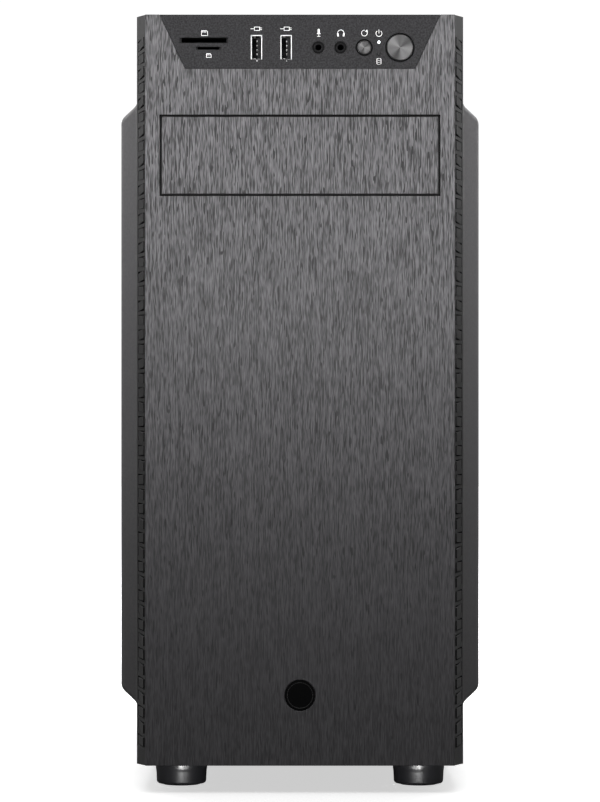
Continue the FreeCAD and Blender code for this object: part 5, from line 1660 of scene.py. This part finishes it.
@dataclass
class Board:
    """The main board with its sockets, modules, cans and small parts."""

    seed: int = 7
    clusters: int = 26
    face: float = 72.0 * MM
    cans: tuple[Pair, ...] = (
        (44, 20), (52, 28), (44, 36), (36, 176), (46, 176), (26, 186), (206, 186), (206, 262),
        (216, 262), (150, 268),
    )
    holes: tuple[Pair, ...] = tuple((a, b) for a in (10, 134, 237) for b in (8, 166, 296))
    memory_rows: Pair = (58.5, 40.5)
    memory_run: Pair = (272, 404)
    card_rows: tuple[Pair, ...] = ((203.35, 143.5), (183.03, 79.5), (142.39, 143.5))
    card_end: float = 166.5

    def build(self) -> None:
        """Dresses the board."""
        for node, finish in (
            ("motherboard", Finishes.board), ("board_standoffs", Finishes.brass),
            ("inner_screws", Finishes.plated), ("power_lead", Finishes.sleeve),
            ("memory_modules", Finishes.board), ("front_io_board", Finishes.board),
        ):
            dress(node, finish)
        for node, finish in (
            ("cooler_heatsink", Finishes.alloy), ("board_heatsinks", Finishes.alloy),
            ("board_components", Finishes.can), ("board_sockets", Finishes.black),
            ("power_plug", Finishes.black), ("io_shield", Finishes.zinc),
            ("rear_ports", Finishes.plated), ("slot_covers", Finishes.zinc),
        ):
            dress(node, finish, 0.12 * MM)
        self.back, self.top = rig.box("motherboard")[1].y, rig.box("motherboard")[1].z
        self.sleeves()
        self.screws()
        self.small_parts()
        self.modules()
        self.slots()

    def at(self, a: float, b: float) -> tuple[float, float]:
        """The place that is a mm from the board's rear edge and b mm from its top edge."""
        return self.back - a * MM, self.top - b * MM

    def sleeves(self) -> None:
        """A printed sleeve round each can, with a lighter stripe."""
        sleeves, stripes = Form(), Form()
        for a, b in self.cans:
            y, z = self.at(a, b)
            place = (self.face - 0.4 * MM, y, z)
            sleeves.ring(place, Facing.LEFT, 3.32 * MM, 3.18 * MM, 8.1 * MM)
            stripes.arc(place, Facing.LEFT, 3.36 * MM, 3.24 * MM, 8.0 * MM, (0, 60))
        sleeves.piece("can_sleeves", Finishes.chip, "tower")
        stripes.piece("can_stripes", Finishes.label, "tower")

    def screws(self) -> None:
        """A pan-head screw in each of the board's holes, with a flat black cross set into its head as painted shade
        for the cross recess.
        """
        heads, recess_shades = Form(), Form()
        head = [(0, -0.2), (2.9, -0.2), (2.9, 0.5), (2.5, 1.3), (1.5, 1.75), (0, 1.85)]
        for a, b in self.holes:
            y, z = self.at(a, b)
            heads.turned(in_metres(head), (self.face, y, z), Facing.LEFT, 28)
            # Painted shade: a black cross stands in for the dark of a cross recess, which is not cut into the head.
            for wide, tall in ((1.5, 0.28), (0.28, 1.5)):
                recess_shades.block(
                    (self.face - 1.92 * MM, y - wide * MM, z - tall * MM),
                    (self.face - 1.70 * MM, y + wide * MM, z + tall * MM),
                )
        heads.piece("board_screws", Finishes.plated, "tower")
        recess_shades.piece("board_screw_recess_shade", Finishes.pit, "tower")

    def small_parts(self) -> None:
        """Chips with pin rows, and a scatter of tiny ceramic parts in the free places."""
        rng = random.Random(self.seed)
        chips, pins, ceramics, ends = Form(), Form(), Form(), Form()
        for a, b, wide, tall in (
            (70, 232, 9, 9), (92, 250, 7, 10), (34, 236, 6, 6), (118, 282, 12, 8), (225, 236, 10, 10),
            (182, 284, 8, 8), (20, 214, 7, 7), (120, 140, 5, 8), (150, 120, 6, 6),
        ):
            y, z = self.at(a, b)
            chips.block((self.face - 1.3 * MM, y - wide / 2 * MM, z - tall / 2 * MM),
                        (self.face + 0.05 * MM, y + wide / 2 * MM, z + tall / 2 * MM), 0.15 * MM)
            count = int(tall / 0.9)
            for i in range(count):
                level = z + (i - (count - 1) / 2) * 0.9 * MM
                reach = (wide / 2 + 0.9) * MM
                pins.block((self.face - 0.35 * MM, y - reach, level - 0.18 * MM),
                           (self.face + 0.05 * MM, y + reach, level + 0.18 * MM), 0.05 * MM)
        for _ in range(self.clusters):
            a, b = rng.uniform(12, 232), rng.choice([rng.uniform(196, 292), rng.uniform(118, 160)])
            upright = rng.random() < 0.5
            for i in range(rng.randint(3, 7)):
                y, z = self.at(a + (0 if upright else i * 2.1), b + (i * 2.1 if upright else 0))
                size = (1.1, 0.6) if upright else (0.6, 1.1)
                ceramics.block((self.face - 0.75 * MM, y - size[0] * 0.65 * MM, z - size[1] * 0.65 * MM),
                               (self.face + 0.05 * MM, y + size[0] * 0.65 * MM, z + size[1] * 0.65 * MM))
                ends.block((self.face - 0.62 * MM, y - size[0] * MM, z - size[1] * MM),
                           (self.face + 0.05 * MM, y + size[0] * MM, z + size[1] * MM))
        chips.piece("board_chips", Finishes.chip, "tower")
        pins.piece("board_chip_pins", Finishes.plated, "tower")
        ceramics.piece("board_ceramics", Finishes.ceramic, "tower")
        ends.piece("board_ceramic_ends", Finishes.plated, "tower")

    def modules(self) -> None:
        """Eight chips a side on each memory module, and a gilt edge."""
        low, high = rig.box("memory_modules")
        thick = 1.3 * MM
        chips, gilt = Form(), Form()
        for centre in (low.y + thick / 2, high.y - thick / 2):
            for i in range(8):
                z = low.z + (high.z - low.z) * (i + 0.7 + (0.2 if i > 3 else 0)) / 8.8
                chips.block((low.x + 9 * MM, centre - 1.5 * MM, z - 4.4 * MM),
                            (low.x + 20 * MM, centre + 1.5 * MM, z + 4.4 * MM), 0.15 * MM)
            gilt.block((high.x - 6.5 * MM, centre - thick / 2 - 0.05 * MM, low.z + 3 * MM),
                       (high.x - 2.5 * MM, centre + thick / 2 + 0.05 * MM, high.z - 3 * MM), 0.02 * MM)
        chips.piece("memory_chips", Finishes.chip, "tower")
        gilt.piece("memory_edges", Finishes.gold, "tower")

    def slots(self) -> None:
        """Gilt contact lines in the memory and card slots."""
        form = Form()
        low, high = self.memory_run
        for y in self.memory_rows:
            form.block(
                (62.9 * MM, (y - 0.5) * MM, low * MM), (63.4 * MM, (y + 0.5) * MM, high * MM), 0.05 * MM
            )
        for z, near in self.card_rows:
            form.block(
                (60.9 * MM, (near + 2) * MM, (z - 0.5) * MM),
                (61.4 * MM, self.card_end * MM, (z + 0.5) * MM), 0.05 * MM,
            )
        form.piece("slot_contacts", Finishes.gold, "tower")


@dataclass
class Cards:
    """The graphics card and the power supply."""

    def build(self) -> None:
        """Dresses both."""
        dress("graphics_card_board", Finishes.board)
        dress("psu_circuit", Finishes.green)
        for node, finish in (
            ("graphics_card_shroud", Finishes.black), ("graphics_card_bracket", Finishes.zinc),
            ("psu_case", Finishes.coat), ("mains_sockets", Finishes.black),
            ("rocker_switch", Finishes.gloss),
        ):
            dress(node, finish, 0.12 * MM)
        self.shroud()
        self.supply()

    def shroud(self) -> None:
        """Raised ribs on the shroud's lower face, and a plate on the board's back."""
        low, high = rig.box("graphics_card_shroud")
        ribs = Form()
        middle_y = (low.y + high.y) / 2
        for i in range(5):
            for side in (-1, 1):
                y = middle_y + side * (3 + i * 1.9) * MM - 1.5 * MM
                ribs.block((low.x + 6 * MM, y - 0.35 * MM, low.z - 0.5 * MM),
                           (high.x - 6 * MM, y + 0.35 * MM, low.z + 0.2 * MM), 0.15 * MM)
        ribs.piece("shroud_ribs", Finishes.gloss, "tower")
        low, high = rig.box("graphics_card_board")
        plate = Form().block(
            (low.x + 4 * MM, low.y + 4 * MM, high.z),
            (high.x - 12 * MM, high.y - 10 * MM, high.z + 1.0 * MM), 0.3 * MM,
        )
        plate.piece("card_back_plate", Finishes.coat, "tower")

    def supply(self) -> None:
        """A blank rating plate on the supply's side, with printed lines."""
        low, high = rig.box("psu_case")
        plate = Form().block((low.x - 0.12 * MM, low.y + 30 * MM, low.z + 14 * MM),
                             (low.x + 0.02 * MM, high.y - 20 * MM, high.z - 14 * MM), 0.05 * MM)
        plate.piece("supply_plate", Finishes.label, "tower")
        lines = Form()
        for i in range(4):
            z = low.z + (24 + i * 12) * MM
            lines.block(
                (low.x - 0.16 * MM, low.y + 34 * MM, z),
                (low.x - 0.1 * MM, high.y - 24 * MM, z + 0.4 * MM),
            )
        lines.piece("supply_plate_lines", Finishes.pit, "tower")


@dataclass
class Drives:
    """The hard drive and the solid state drive."""

    def build(self) -> None:
        """Dresses both."""
        dress("hard_drive_board", Finishes.green)
        dress("hard_drive", Finishes.alloy, 0.6 * MM)
        dress("solid_state_drive", Finishes.black, 0.5 * MM)
        low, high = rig.box("hard_drive")
        lid, label = Form(), Form()
        lid.block(
            (low.x + 5 * MM, low.y + 4 * MM, high.z - 0.1 * MM),
            (high.x - 5 * MM, high.y - 12 * MM, high.z + 0.5 * MM), 0.25 * MM,
        )
        label.block(
            (low.x + 14 * MM, low.y + 30 * MM, high.z + 0.4 * MM),
            (high.x - 14 * MM, high.y - 40 * MM, high.z + 0.6 * MM), 0.05 * MM,
        )
        low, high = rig.box("solid_state_drive")
        label.block(
            (low.x - 0.1 * MM, low.y + 8 * MM, low.z + 10 * MM),
            (low.x + 0.05 * MM, high.y - 8 * MM, high.z - 16 * MM), 0.03 * MM,
        )
        lid.piece("drive_lid", Finishes.alloy, "tower")
        label.piece("drive_labels", Finishes.label, "tower")


def main() -> None:
    """Loads the frame, builds every sub-assembly and writes the two sizes."""
    logging.basicConfig(level=logging.INFO, format="%(name)s %(message)s")
    _FRAME.update(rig.load())
    cad_box = [list(corner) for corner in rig.bounds()]
    studio = Studio()
    studio.build()
    for assembly in (Front(), PortPanel(), Case(), Fans(), Board(), Cards(), Drives()):
        assembly.build()
    studio.gleam(bpy.data.objects["feet_turned"])
    shown_box = [list(corner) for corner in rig.bounds()]
    with open("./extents.json", "w") as out:
        json.dump({"cad": cad_box, "visual": shown_box}, out)


if __name__ == "__main__":
    main()
